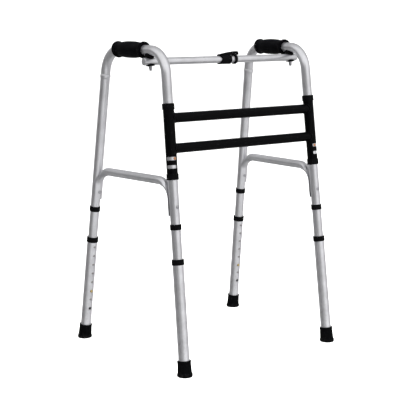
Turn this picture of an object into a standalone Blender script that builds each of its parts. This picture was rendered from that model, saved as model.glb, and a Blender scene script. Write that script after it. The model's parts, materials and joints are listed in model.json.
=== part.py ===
# Folding walker with two side frames that can also be stepped one after the other.
# Metres, +Z up, -Y to the front, origin on the floor in the middle of the four feet.
# Each side frame is drawn in its own plane: x across it, y to the back, z up.

import math

import bmesh
import bpy
from mathutils import Matrix, Vector

# Gap between pieces that touch or turn in each other, and under the right rail saddle,
# where the brace's linkage is left open
GAP = 0.0003
OPEN_PIVOT_GAP = 0.0009
# Sides of the round pieces on the legs, and of small round pieces
SIDES = 16
SMALL_SIDES = 10
ARC_STEP = math.radians(13)

# Stance of the side frames
FRONT_FOOT_X = 0.2457
FOOT_SPREAD = 0.4462
FRONT_LEAN = math.radians(6.87)
REAR_LEAN = math.radians(7.5)
CAMBER = math.radians(1.36)
TOE_OUT = math.radians(2.9)

# Frame tubes
TUBE_R = 0.0127
TUBE_WALL = 0.0013
RAIL_HEIGHT = 0.8065
FRONT_BEND_R = 0.063
REAR_BEND_R = 0.066
TUBE_END_HEIGHT = 0.103
JOINT_HEIGHT = 0.740
SPIGOT_LENGTH = 0.035
BELL_LIP = 0.0004
BELL_HEIGHT = 0.011

# Lower legs
LEG_PLAY = 0.0003
LEG_WALL = 0.0013
LEG_R = TUBE_R + LEG_PLAY + LEG_WALL
LEG_ABOVE_HOLES = 0.0247
HOLE_COUNT = 8
HOLES_BELOW_BUTTON = 2
HOLE_PITCH = 0.0254
LEG_COLLAR_HEIGHT = 0.014
LEG_COLLAR_WALL = 0.0013
LEG_COLLAR_LIP = 0.003
STOP_COLLAR_BELOW_BRACE = 0.0265
STOP_COLLAR_HEIGHT = 0.014
STOP_COLLAR_WALL = 0.0015

# Rubber feet
FOOT_FLARE = 0.0057
FOOT_R = LEG_R + FOOT_FLARE
FOOT_WALL = 0.00215
FOOT_TOP_R = LEG_R + GAP + FOOT_WALL
FOOT_HEIGHT = 0.040
FOOT_RIM_HEIGHT = 0.0055
FOOT_EDGE = 0.0016
FOOT_FLOOR = 0.010

# Snap buttons and their springs
BUTTON_ABOVE_TUBE_END = 0.0365
BUTTON_R = 0.0036
BUTTON_PLAY = 0.0005
HOLE_R = BUTTON_R + BUTTON_PLAY
BUTTON_PROUD = 0.002
BUTTON_EDGE = 0.0012
FLANGE_R = 0.005
FLANGE_THICK = 0.001
FLANGE_INSET = 0.0017
SPRING_WIDTH = 0.007
SPRING_THICK = 0.0007
SPRING_RISE = 0.045
SPRING_FOOT = 0.009

# Sleeves, crossbars and bush caps of the front frame
SLEEVE_WALL = 0.0009
SLEEVE_PLAY = 0.0004
SLEEVE_ABOVE_BRACE = 0.0105
SLEEVE_LENGTH = 0.180
BUSH_WALL = 0.0012
BUSH_LIP = 0.0046
BUSH_SKIRT = 0.0105
CROSSBAR_R = 0.0125
CROSSBAR_WALL = 0.0015
CROSSBAR_RISES = {"lower": 0.0728, "upper": 0.1484}
SLOT_RISES = (0.0281, 0.0485)
SLOT_HEIGHT = 0.0084
SLOT_INWARD = math.radians(24)
SLOT_OUTWARD = math.radians(104)
PIN_R = 0.003
PIN_PROUD = 0.0004
PIN_HEAD_R = 0.0042
PIN_HEAD_THICK = 0.0018

# U-shaped side braces, flattened where they hug the legs
BRACE_R = 0.011
BRACE_WALL = 0.0012
BRACE_HEIGHT = 0.4845
BRACE_FALL = 0.0038
BRACE_FRONT_BEND_R = 0.046
BRACE_REAR_BEND_R = 0.045
BRACE_DROP = 0.0845
BRACE_SIDES = 12
BRACE_FLAT = 0.0037
BRACE_FLAT_WALL = 0.0014
BRACE_WRAP = math.radians(59)
BRACE_BORE_WRAP = math.radians(52)
BRACE_FLATTENING = math.radians(68)
RIVET_ABOVE_BRACE_END = 0.0233
RIVET_R = 0.0024
RIVET_HEAD_R = 0.0046
RIVET_HEAD_THICK = 0.0016

# Grips
GRIP_BEHIND_SADDLE = 0.0073
GRIP_LENGTH = 0.115
GRIP_FLANGE_RISE = 0.0088
GRIP_FLANGE_R = TUBE_R + GRIP_FLANGE_RISE
GRIP_FLANGE = 0.006
GRIP_WAIST_RISE = 0.0058
GRIP_WAIST_R = TUBE_R + GRIP_WAIST_RISE
GRIP_WAIST = 0.010
GRIP_BELLY_RISE = 0.0086
GRIP_BELLY_R = TUBE_R + GRIP_BELLY_RISE

# Folding top brace
BOLT_SETBACK = 0.0624
BAR_R = 0.0095
BAR_BELOW_RAIL = 0.0058
BAR_DROP = TUBE_R + BAR_R + BAR_BELOW_RAIL
BAR_WALL = 0.0013
BAR_END_WALL = 0.0013
BAR_OVERHANG = 0.020
HINGE_X = 0.0245
BOLT_R = 0.003
BOLT_HEAD_R = 0.006
BOLT_HEAD_THICK = 0.002
BOLT_CAP_R = 0.0049
BOLT_CAP_TIP_R = 0.0034
BOLT_CAP_LENGTH = 0.0115
RAIL_SADDLE_INSET = 0.001
RAIL_SADDLE_R = TUBE_R - RAIL_SADDLE_INSET
RAIL_SADDLE_RISE = 0.0075
SADDLE_SPLIT = 0.0019
UPPER_SADDLE_FLARE = 0.0022
UPPER_SADDLE_R = BAR_R + UPPER_SADDLE_FLARE
UPPER_SADDLE_TIP_FLARE = 0.0012
UPPER_SADDLE_TIP_R = BAR_R + UPPER_SADDLE_TIP_FLARE
UPPER_SADDLE_TIP = 0.008
LOWER_SADDLE_WALL = 0.002
LOWER_SADDLE_R = BAR_R + LOWER_SADDLE_WALL
LOWER_SADDLE_TOP = 0.008
LOWER_SADDLE_WEB = 0.0015
LOWER_SADDLE_EDGE = 0.001

# Middle hinge of the brace, lengths along the bar from the hinge pin
HOUSING_WALL = 0.0027
HOUSING_R = BAR_R + GAP + HOUSING_WALL
HOUSING_START = -0.0435
HOUSING_END = -0.004
SOCKET_END = -0.018
RIGHT_BAR_START = -0.0037
PIN_HINGE_R = 0.0025
PIN_HINGE_HEAD_R = 0.0034
PIN_HINGE_HEAD_THICK = 0.0012
TONGUE_R = 0.006
TONGUE_HALF_HEIGHT = 0.004
SWING_R = math.hypot(RIGHT_BAR_START, BAR_R) + GAP
REAR_RELIEF_START = -0.0145
REAR_RELIEF_Y = 0.0045
RING_START = 0.0075
RING_END = 0.0155
RING_WALL = 0.0032
RING_R = BAR_R + GAP + RING_WALL

# Lock lever on the housing
LEVER_HALF_WIDTH = 0.0082
LEVER_PIVOT_R = 0.0014
LEVER_PIVOT_X = -0.038
LEVER_PIVOT_SINK = 0.0005
LEVER_PIVOT_Z = HOUSING_R - LEVER_PIVOT_SINK
LEVER_RISE = 0.0074
LEVER_TOP_Z = RING_R + LEVER_RISE
LEVER_ARM_THICK = 0.0014
LEVER_CREST_X = 0.002
LEVER_OVERHANG = 0.006
LEVER_CHEEK = 0.0024
LEVER_NOSE = 0.0032
LEVER_SWING_STEPS = 10

SIDE_SIGNS = {"left": -1, "right": 1}


def clear_scene():
    for old in list(bpy.data.objects):
        bpy.data.objects.remove(old, do_unlink=True)


def material(name, colour, roughness, metallic):
    made = bpy.data.materials.new(name)
    made.use_nodes = True
    shader = made.node_tree.nodes["Principled BSDF"]
    shader.inputs["Base Color"].default_value = (*colour, 1)
    shader.inputs["Roughness"].default_value = roughness
    shader.inputs["Metallic"].default_value = metallic
    made.diffuse_color = (*colour, 1)
    return made


# Paths and surfaces


def left_of(direction):
    return Vector((-direction.y, direction.x))


class Route:
    """Straight runs joined by arcs in a side frame's plane, as (back, up), measured from the start."""

    def __init__(self, points, radii):
        self.runs = []
        cursor, distance = points[0], 0.0
        for before, corner, after, radius in zip(points, points[1:], points[2:], radii):
            into, out = (corner - before).normalized(), (after - corner).normalized()
            turn = math.atan2(into.x * out.y - into.y * out.x, into.dot(out))
            reach = radius * math.tan(abs(turn) / 2)
            straight = (corner - into * reach - cursor).length
            self.runs.append((distance, straight, cursor, into, 0.0))
            distance += straight
            arc = radius * abs(turn)
            self.runs.append((distance, arc, corner - into * reach, into, math.copysign(1 / radius, turn)))
            distance += arc
            cursor = corner + out * reach
        last = points[-1] - cursor
        self.runs.append((distance, last.length, cursor, last.normalized(), 0.0))
        self.length = distance + last.length

    def at(self, distance):
        run = self.runs[0]
        for candidate in self.runs:
            if distance >= candidate[0]:
                run = candidate
        start, _, point, direction, curve = run
        along = distance - start
        if curve == 0:
            return point + direction * along, direction
        turn = along * curve
        side = left_of(direction)
        moved = direction * math.sin(turn) / curve + side * (1 - math.cos(turn)) / curve
        return point + moved, direction * math.cos(turn) + side * math.sin(turn)

    def stations(self, low, high):
        """Distances strictly between low and high where a swept surface needs a ring."""
        found = []
        for start, length, _, _, curve in self.runs:
            steps = max(1, round(length * abs(curve) / ARC_STEP)) if curve else 1
            found += [start + length * step / steps for step in range(steps + 1)]
        return sorted({round(d, 7) for d in found if low + 1e-4 < d < high - 1e-4})


def ring(centre, across, upward, radius, sides=SIDES):
    angles = [2 * math.pi * side / sides for side in range(sides)]
    return [centre + across * (radius * math.cos(a)) + upward * (radius * math.sin(a)) for a in angles]


def bridge(bm, low, high):
    if len(low) == 1 and len(high) == 1:
        return
    count = max(len(low), len(high))
    for side in range(count):
        after = (side + 1) % count
        corners = [low[side % len(low)], low[after % len(low)]]
        corners += [high[after % len(high)], high[side % len(high)]]
        bm.faces.new(list(dict.fromkeys(corners)))


def skin(rings, closed=False):
    """Solid whose surface runs through the rings, capped at its ends unless it closes on itself."""
    bm = bmesh.new()
    loops = [[bm.verts.new(point) for point in points] for points in rings]
    for low, high in zip(loops, loops[1:]):
        bridge(bm, low, high)
    if closed:
        bridge(bm, loops[-1], loops[0])
    else:
        for end in (loops[0], loops[-1]):
            if len(end) > 1:
                bm.faces.new(end)
    bmesh.ops.recalc_face_normals(bm, faces=bm.faces)
    return bm


def turned(profile, closed=False, sides=SIDES):
    """Solid turned about z from (radius, height) points; a closed profile has a bore."""
    across, upward = Vector((1, 0, 0)), Vector((0, 1, 0))
    rings = []
    for radius, height in profile:
        centre = Vector((0, 0, height))
        rings.append(ring(centre, across, upward, radius, sides) if radius else [centre])
    return skin(rings, closed)


def swept(route, profile, closed=False, sides=SIDES):
    """Solid swept along a route from (distance, radius) points, with rings added where the route bends."""
    steps = []
    ends = list(zip(profile, profile[1:] + profile[:1])) if closed else list(zip(profile, profile[1:]))
    for (start, start_radius), (end, end_radius) in ends:
        steps.append((start, start_radius))
        between = route.stations(min(start, end), max(start, end))
        for distance in between if end > start else reversed(between):
            share = (distance - start) / (end - start)
            steps.append((distance, start_radius + share * (end_radius - start_radius)))
    if not closed:
        steps.append(profile[-1])
    rings = []
    for distance, radius in steps:
        point, direction = route.at(distance)
        side = left_of(direction)
        centre = Vector((0, point.x, point.y))
        rings.append(ring(centre, Vector((1, 0, 0)), Vector((0, side.x, side.y)), radius, sides))
    return skin(rings, closed)


def rod(low, high, radius, sides=SMALL_SIDES):
    return turned([(radius, low), (radius, high)], sides=sides)


def block(low, high):
    """Box between two corners."""
    x0, y0, z0 = low
    x1, y1, z1 = high
    floor = [Vector((x, y, z0)) for x, y in ((x0, y0), (x1, y0), (x1, y1), (x0, y1))]
    top = [Vector((p.x, p.y, z1)) for p in floor]
    return skin([floor, top])


def extruded(outline, half_width):
    """Plate of an (x, z) outline, between y = -half_width and y = half_width."""
    near = [Vector((x, -half_width, z)) for x, z in outline]
    far = [Vector((x, half_width, z)) for x, z in outline]
    return skin([near, far])


def sector(inner, outer, low, high, start, end, sign):
    """Part of a ring about z; angles from the front towards the outer side of the walker."""
    steps = max(2, round((end - start) / ARC_STEP))
    sections = []
    for step in range(steps + 1):
        angle = start + (end - start) * step / steps
        out = Vector((sign * math.sin(angle), -math.cos(angle), 0))
        up = Vector((0, 0, 1))
        corners = ((inner, low), (outer, low), (outer, high), (inner, high))
        sections.append([out * radius + up * height for radius, height in corners])
    return skin(sections)


def moved(bm, matrix):
    bmesh.ops.transform(bm, matrix=matrix, verts=bm.verts)
    return bm


def merged(pieces):
    """One mesh of several cutters that don't touch."""
    whole = bmesh.new()
    for piece in pieces:
        part = bpy.data.meshes.new("part")
        piece.to_mesh(part)
        whole.from_mesh(part)
        piece.free()
        bpy.data.meshes.remove(part)
    return whole


TO_X = Matrix.Rotation(math.pi / 2, 4, "Y")
TO_FRONT = Matrix.Rotation(math.pi / 2, 4, "X")
TO_BACK = Matrix.Rotation(-math.pi / 2, 4, "X")


def upright(height):
    return Matrix.Translation((0, 0, height))


# Scene objects


def empty(name, parent, location, rotation):
    made = bpy.data.objects.new(name, None)
    made.empty_display_size = 0.03
    made.parent = parent
    made.location = location
    made.rotation_euler = rotation
    bpy.context.scene.collection.objects.link(made)
    return made


def new_object(name, bm, parent):
    mesh = bpy.data.meshes.new(name)
    bm.to_mesh(mesh)
    bm.free()
    made = bpy.data.objects.new(name, mesh)
    made.parent = parent
    bpy.context.scene.collection.objects.link(made)
    return made


def piece(name, bm, parent, look):
    made = new_object(name, bm, parent)
    made.data.materials.append(look)
    made.data.shade_smooth()
    made.data.set_sharp_from_angle(angle=math.radians(35))
    return made


def boolean(target, bm, parent, operation="DIFFERENCE"):
    tool = new_object(f"{target.name}_{operation.lower()}", bm, parent)
    tool.hide_render = True
    tool.display_type = "WIRE"
    modifier = target.modifiers.new(operation.capitalize(), "BOOLEAN")
    modifier.operation = operation
    modifier.solver = "EXACT"
    modifier.object = tool


# Places worked out from the stance


def front_length(height):
    return height / math.cos(FRONT_LEAN)


def rear_length(height):
    return height / math.cos(REAR_LEAN)


def front_line(height, offset=0.0):
    """Point of the side plane on the front leg's axis, or beside it."""
    return Vector((height * math.tan(FRONT_LEAN) + offset / math.cos(FRONT_LEAN), height))


def rear_line(height, offset=0.0):
    return Vector((FOOT_SPREAD - height * math.tan(REAR_LEAN) - offset / math.cos(REAR_LEAN), height))


def side_matrix(sign):
    place = Matrix.Translation((sign * FRONT_FOOT_X, -FOOT_SPREAD * math.cos(TOE_OUT) / 2, 0))
    return place @ Matrix.Rotation(-sign * TOE_OUT, 4, "Z") @ Matrix.Rotation(-sign * CAMBER, 4, "Y")


def side_point(sign, point):
    return side_matrix(sign) @ Vector((0, point.x, point.y))


def rail_route():
    """Centre line of the bent tube, from the front leg's lower end to the tip of the swaged end."""
    tip = rear_line(JOINT_HEIGHT) + Vector((math.sin(REAR_LEAN), -math.cos(REAR_LEAN))) * SPIGOT_LENGTH
    corners = [front_line(TUBE_END_HEIGHT), front_line(RAIL_HEIGHT), rear_line(RAIL_HEIGHT), tip]
    return Route(corners, [FRONT_BEND_R, REAR_BEND_R])


def bolt_tilt():
    """Lean of the bolt and hinge axes, which follow the front legs as seen from the side."""
    top = side_point(-1, front_line(RAIL_HEIGHT)) - side_point(-1, front_line(0))
    return math.atan2(top.y, top.z)


def bolt_place(sign):
    """Centre of the bar under the rail, on the bolt's axis."""
    on_rail = side_point(sign, front_line(RAIL_HEIGHT, BOLT_SETBACK))
    return on_rail - Vector((0, math.tan(bolt_tilt()), 1)) * BAR_DROP


def rail_above_bar():
    """Distance along the bolt's axis from the bar's centre to the rail's."""
    return BAR_DROP / math.cos(bolt_tilt())


def saddle_split():
    """Height of the flat between the two saddles, along the bolt from the bar's centre."""
    return BAR_R + SADDLE_SPLIT


def hole_lengths(button_length):
    lowest = button_length - HOLES_BELOW_BUTTON * HOLE_PITCH
    return [lowest + number * HOLE_PITCH for number in range(HOLE_COUNT)]


def button_height():
    return TUBE_END_HEIGHT + BUTTON_ABOVE_TUBE_END


def brace_low():
    return BRACE_HEIGHT - BRACE_DROP


def rivet_height():
    return brace_low() + RIVET_ABOVE_BRACE_END


def stop_collar_height():
    return brace_low() - STOP_COLLAR_BELOW_BRACE


def sleeve_low():
    """Lower end of the sleeves, along the front legs."""
    return front_length(BRACE_HEIGHT) + SLEEVE_ABOVE_BRACE


def pin_length():
    return sleeve_low() + SLOT_RISES[1]


# Front frame


def sleeve_bore():
    return TUBE_R + SLEEVE_PLAY


def sleeve_radius():
    return sleeve_bore() + SLEEVE_WALL


def sleeve(side, sign, line, look):
    bore, radius, low = sleeve_bore(), sleeve_radius(), sleeve_low()
    high = low + SLEEVE_LENGTH
    profile = [(radius, low), (radius, high), (bore, high), (bore, low)]
    made = piece(f"sleeve_{side}", turned(profile, closed=True), line, look)
    half = SLOT_HEIGHT / 2
    slots = []
    for rise in SLOT_RISES:
        bottom, top = low + rise - half, low + rise + half
        slots.append(sector(TUBE_R, radius + GAP, bottom, top, -SLOT_INWARD, SLOT_OUTWARD, sign))
    boolean(made, merged(slots), line)


def bush(name, edge, upward, line, look):
    """Cap over a sleeve's end; upward is 1 on the upper end and -1 on the lower."""
    inner, outer = TUBE_R + GAP, sleeve_radius() + GAP + BUSH_WALL
    over, tip = edge - upward * BUSH_SKIRT, edge + upward * BUSH_LIP
    seat, chamfer = edge + upward * GAP, BUSH_WALL / 2
    profile = [
        (outer, over), (outer, tip - upward * chamfer), (outer - chamfer, tip),
        (inner, tip), (inner, seat), (sleeve_radius() + GAP, seat), (sleeve_radius() + GAP, over),
    ]
    piece(name, turned(profile, closed=True), line, look)


def crossbar(level, rise, lines, look):
    middle = sleeve_low() + rise
    height = middle * math.cos(FRONT_LEAN)
    left, right = (side_point(sign, front_line(height)) for sign in (-1, 1))
    hollow = CROSSBAR_R - CROSSBAR_WALL
    profile = [(CROSSBAR_R, left.x), (CROSSBAR_R, right.x), (hollow, right.x), (hollow, left.x)]
    bar = moved(turned(profile, closed=True), Matrix.Translation((0, left.y, left.z)) @ TO_X)
    made = piece(f"crossbar_{level}", bar, None, look)
    reach = CROSSBAR_R * 2
    for line in lines:
        cope = rod(middle - reach, middle + reach, sleeve_radius() + GAP, sides=SIDES)
        boolean(made, cope, line)


def front_frame(lines, looks):
    for side, sign in SIDE_SIGNS.items():
        sleeve(side, sign, lines[side], looks["black_paint"])
        bush(f"bush_upper_{side}", sleeve_low() + SLEEVE_LENGTH, 1, lines[side], looks["black_plastic"])
        bush(f"bush_lower_{side}", sleeve_low(), -1, lines[side], looks["black_plastic"])
    for level, rise in CROSSBAR_RISES.items():
        crossbar(level, rise, lines.values(), looks["black_paint"])


# Side frames


def side_tube(side, frame, front, bolt, look):
    route = rail_route()
    bore = TUBE_R - TUBE_WALL
    shoulder = route.length - SPIGOT_LENGTH
    spigot = bore - GAP
    spigot_bore = spigot - TUBE_WALL
    profile = [
        (0, TUBE_R), (shoulder - GAP, TUBE_R), (shoulder - GAP, spigot), (route.length, spigot),
        (route.length, spigot_bore), (shoulder - TUBE_WALL, spigot_bore),
        (shoulder - 2 * TUBE_WALL, bore), (0, bore),
    ]
    made = piece(f"side_tube_{side}", swept(route, profile, closed=True), frame, look)
    button = front_length(button_height())
    cuts = [
        moved(rod(0, 2 * TUBE_R, HOLE_R), upright(button) @ TO_BACK),
        moved(rod(0, 2 * TUBE_R, PIN_R + GAP), upright(pin_length()) @ TO_FRONT),
        moved(rod(-2 * TUBE_R, 2 * TUBE_R, RIVET_R + GAP), upright(front_length(rivet_height())) @ TO_BACK),
    ]
    boolean(made, merged(cuts), front)
    boolean(made, rod(saddle_split(), rail_above_bar(), BOLT_R + GAP), bolt)


def rear_leg_tube(side, rear, look):
    low, high = rear_length(TUBE_END_HEIGHT), rear_length(JOINT_HEIGHT)
    bore, bell = TUBE_R - TUBE_WALL, TUBE_R + BELL_LIP
    flare = high - BELL_HEIGHT
    profile = [(TUBE_R, low), (TUBE_R, flare - BELL_LIP), (bell, flare)]
    profile += [(bell, high), (bore, high), (bore, low)]
    made = piece(f"rear_leg_tube_{side}", turned(profile, closed=True), rear, look)
    cuts = [
        moved(rod(0, 2 * TUBE_R, HOLE_R), upright(rear_length(button_height())) @ TO_FRONT),
        moved(rod(-2 * TUBE_R, 2 * TUBE_R, RIVET_R + GAP), upright(rear_length(rivet_height())) @ TO_BACK),
    ]
    boolean(made, merged(cuts), rear)


def brace_offset():
    """Distance from a leg's axis to the middle of the flattened brace."""
    return TUBE_R + GAP + BRACE_FLAT / 2


def brace_route():
    offset = brace_offset()
    corners = [
        front_line(brace_low(), offset), front_line(BRACE_HEIGHT, offset),
        rear_line(BRACE_HEIGHT - BRACE_FALL, offset), rear_line(brace_low(), offset),
    ]
    return Route(corners, [BRACE_FRONT_BEND_R, BRACE_REAR_BEND_R])


def flatness(route, distance):
    """1 where the brace is flattened against a leg, 0 where it is round."""
    _, front, middle, rear, _ = route.runs
    front_angle = (distance - front[0]) / BRACE_FRONT_BEND_R
    rear_angle = (rear[0] + rear[1] - distance) / BRACE_REAR_BEND_R
    share = min(max(min(front_angle, rear_angle) / BRACE_FLATTENING, 0), 1)
    return 1 - share * share * (3 - 2 * share)


def brace_section(route, distance, inset, flat_inset, wrap):
    """Ring of the brace: a circle that flattens into a crescent round the leg."""
    point, direction = route.at(distance)
    normal, across = left_of(direction), Vector((1, 0, 0))
    centre, towards = Vector((0, point.x, point.y)), Vector((0, normal.x, normal.y))
    axis = centre + towards * brace_offset()
    inner = TUBE_R + GAP + flat_inset
    outer = TUBE_R + GAP + BRACE_FLAT - flat_inset
    blend = flatness(route, distance)
    corner = math.pi / 2 - math.pi / BRACE_SIDES
    points = []
    for side in range(BRACE_SIDES):
        angle = math.pi / BRACE_SIDES + 2 * math.pi * side / BRACE_SIDES
        near = math.cos(angle) > 0
        lean = math.asin(math.sin(angle))
        hug, radius = wrap * lean / corner, inner if near else outer
        flat = axis - towards * (radius * math.cos(hug)) + across * (radius * math.sin(hug))
        size = BRACE_R - inset
        round_point = centre + towards * (size * math.cos(angle)) + across * (size * math.sin(angle))
        points.append(round_point.lerp(flat, blend))
    return points


def side_brace(side, frame, front, rear, look):
    route = brace_route()
    distances = [0, *route.stations(0, route.length), route.length]
    outside = [brace_section(route, d, 0, 0, BRACE_WRAP) for d in distances]
    walls = (BRACE_WALL, BRACE_FLAT_WALL, BRACE_BORE_WRAP)
    inside = [brace_section(route, d, *walls) for d in reversed(distances)]
    made = piece(f"side_brace_{side}", skin(outside + inside, closed=True), frame, look)
    reach = 2 * TUBE_R
    front_hole = upright(front_length(rivet_height())) @ TO_BACK
    rear_hole = upright(rear_length(rivet_height())) @ TO_FRONT
    boolean(made, moved(rod(0, reach, RIVET_R + GAP), front_hole), front)
    boolean(made, moved(rod(0, reach, RIVET_R + GAP), rear_hole), rear)


def side_rivet(name, line, length, turn, look):
    """Rivet through a leg tube and the flattened brace, along y, with a head at each end."""
    low, high = -TUBE_R - GAP, TUBE_R + 2 * GAP + BRACE_FLAT
    crown = RIVET_HEAD_R - RIVET_HEAD_THICK / 2
    profile = [
        (0, low - RIVET_HEAD_THICK), (crown, low - RIVET_HEAD_THICK),
        (RIVET_HEAD_R, low - RIVET_HEAD_THICK / 2),
        (RIVET_HEAD_R, low), (RIVET_R, low), (RIVET_R, high), (RIVET_HEAD_R, high),
        (RIVET_HEAD_R, high + RIVET_HEAD_THICK / 2), (crown, high + RIVET_HEAD_THICK),
        (0, high + RIVET_HEAD_THICK),
    ]
    piece(name, moved(turned(profile, sides=SMALL_SIDES), upright(length) @ turn), line, look)


def grip(side, frame, look):
    route = rail_route()
    bend_end = route.runs[2][0]
    on_rail = front_line(RAIL_HEIGHT, BOLT_SETBACK).x + RAIL_SADDLE_R + GRIP_BEHIND_SADDLE
    start = bend_end + on_rail - route.at(bend_end)[0].x
    end = start + GRIP_LENGTH
    middle, bore = (start + end) / 2, TUBE_R + GAP
    outside = [(start, GRIP_FLANGE_R), (start + GRIP_FLANGE, GRIP_FLANGE_R)]
    outside += [(start + GRIP_FLANGE, GRIP_WAIST_R)]
    outside += [(start + GRIP_FLANGE + GRIP_WAIST, GRIP_WAIST_R), (middle, GRIP_BELLY_R)]
    outside += [(end - GRIP_FLANGE - GRIP_WAIST, GRIP_WAIST_R), (end - GRIP_FLANGE, GRIP_WAIST_R)]
    outside += [(end - GRIP_FLANGE, GRIP_FLANGE_R), (end, GRIP_FLANGE_R)]
    piece(f"grip_{side}", swept(route, [*outside, (end, bore), (start, bore)], closed=True), frame, look)


def stop_collar(name, line, middle, look):
    bore = TUBE_R + GAP
    radius, half = bore + STOP_COLLAR_WALL, STOP_COLLAR_HEIGHT / 2
    low, high = middle - half, middle + half
    profile = [(radius, low), (radius, high), (bore, high), (bore, low)]
    piece(name, turned(profile, closed=True), line, look)


def stop_pin(side, front, look):
    tip, edge = sleeve_radius() + PIN_PROUD, PIN_PROUD * 2
    shoulder = math.sqrt((TUBE_R - TUBE_WALL) ** 2 - PIN_HEAD_R**2) - 2 * GAP
    profile = [
        (0, shoulder - PIN_HEAD_THICK), (PIN_HEAD_R, shoulder - PIN_HEAD_THICK),
        (PIN_HEAD_R, shoulder),
        (PIN_R, shoulder), (PIN_R, tip - edge), (PIN_R - edge, tip), (0, tip),
    ]
    bm = moved(turned(profile, sides=SMALL_SIDES), upright(pin_length()) @ TO_FRONT)
    piece(f"stop_pin_{side}", bm, front, look)


def rail_saddle(side, frame, bolt, look):
    low = saddle_split() + (GAP if side == "left" else OPEN_PIVOT_GAP)
    high = rail_above_bar() - RAIL_SADDLE_RISE
    made = piece(f"rail_saddle_{side}", rod(low, high, RAIL_SADDLE_R, sides=SIDES), bolt, look)
    route = rail_route()
    bend = route.runs[1]
    cup = swept(route, [(bend[0], TUBE_R + GAP), (bend[0] + bend[1] + 2 * BOLT_SETBACK, TUBE_R + GAP)])
    boolean(made, cup, frame)
    boolean(made, rod(0, rail_above_bar(), BOLT_R + GAP), bolt)


# Lower legs


def leg_tube(name, line, top, button, turn, look):
    low, bore = FOOT_FLOOR + GAP, LEG_R - LEG_WALL
    profile = [(LEG_R, low), (LEG_R, top), (bore, top), (bore, low)]
    made = piece(name, turned(profile, closed=True), line, look)
    row = [moved(rod(0, 2 * LEG_R, HOLE_R), upright(length) @ turn) for length in hole_lengths(button)]
    boolean(made, merged(row), line)


def leg_collar(name, line, top, look):
    """Collar that caps the leg tube's top; the frame tube slides through its lip."""
    seat, lip = LEG_R + GAP, TUBE_R + GAP
    radius = seat + LEG_COLLAR_WALL
    high = top + GAP + LEG_COLLAR_LIP
    low = high - LEG_COLLAR_HEIGHT
    profile = [
        (radius, low), (radius, high), (lip, high),
        (lip, top + GAP), (seat, top + GAP), (seat, low),
    ]
    piece(name, turned(profile, closed=True), line, look)


def foot(name, line, look):
    """Rubber foot about the leg's axis, cut flat on the floor."""
    seat, below = LEG_R + GAP, -FOOT_R * math.tan(REAR_LEAN) - FOOT_EDGE
    profile = [
        (0, below), (FOOT_R - FOOT_EDGE, below), (FOOT_R - FOOT_EDGE, FOOT_RIM_HEIGHT - FOOT_EDGE),
        (FOOT_R, FOOT_RIM_HEIGHT), (FOOT_TOP_R, FOOT_HEIGHT), (seat, FOOT_HEIGHT),
        (seat, FOOT_FLOOR), (0, FOOT_FLOOR),
    ]
    made = piece(name, turned(profile), line, look)
    reach = FOOT_R * 2
    place = line.matrix_world.translation
    low = (place.x - reach, place.y - reach, -reach)
    boolean(made, block(low, (place.x + reach, place.y + reach, 0)), None)


def flange_top():
    """Distance from the leg's axis to the outer face of the button's flange, inside the tube."""
    return TUBE_R - TUBE_WALL - FLANGE_INSET


def snap_button(name, line, button, turn, look):
    tip, base = LEG_R + BUTTON_PROUD, flange_top() - FLANGE_THICK
    profile = [
        (0, base), (FLANGE_R, base), (FLANGE_R, flange_top()), (BUTTON_R, flange_top()),
        (BUTTON_R, tip - BUTTON_EDGE), (BUTTON_R - BUTTON_EDGE, tip), (0, tip),
    ]
    piece(name, moved(turned(profile, sides=SMALL_SIDES), upright(button) @ turn), line, look)


def snap_spring(name, line, button, sign, look):
    """V of flat strip inside the tube: one arm under the button, the other on the far wall."""
    near = flange_top() - FLANGE_THICK - GAP
    far = -math.sqrt((TUBE_R - TUBE_WALL) ** 2 - (SPRING_WIDTH / 2) ** 2) + 2 * GAP
    low, high = button - SPRING_FOOT, button + SPRING_RISE
    bend = button + SPRING_FOOT
    outer = [(near, low), (near, bend), (SPRING_THICK, high), (-SPRING_THICK, high), (far, low)]
    inner = [(far + SPRING_THICK, low), (0, high - 4 * SPRING_THICK)]
    inner += [(near - SPRING_THICK, bend), (near - SPRING_THICK, low)]
    strip = [Vector((-SPRING_WIDTH / 2, sign * y, z)) for y, z in outer + inner]
    other = [Vector((SPRING_WIDTH / 2, p.y, p.z)) for p in strip]
    piece(name, skin([strip, other]), line, look)


def lower_leg(where, line, length_of, turn, sign, looks):
    """One adjustable leg; its holes face the back on the front legs and the front on the rear legs."""
    button = length_of(button_height())
    top = hole_lengths(button)[-1] + LEG_ABOVE_HOLES
    leg_tube(f"leg_tube_{where}", line, top, button, turn, looks["aluminium"])
    leg_collar(f"leg_collar_{where}", line, top, looks["black_plastic"])
    foot(f"foot_{where}", line, looks["rubber"])
    snap_button(f"snap_button_{where}", line, button, turn, looks["brass"])
    snap_spring(f"snap_spring_{where}", line, button, sign, looks["spring_steel"])


# Folding top brace


def brace_tube(side, outer, inner, hinge, bolt, look):
    """Half bar, closed at its outer end."""
    bore = BAR_R - BAR_WALL
    floor = outer + math.copysign(BAR_END_WALL, inner - outer)
    profile = [(0, outer), (BAR_R, outer), (BAR_R, inner), (bore, inner), (bore, floor), (0, floor)]
    bar = moved(turned(profile), TO_X)
    made = piece(f"brace_tube_{side}", bar, hinge, look)
    boolean(made, rod(-2 * BAR_R, 2 * BAR_R, BOLT_R + GAP), bolt)
    return made


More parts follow.
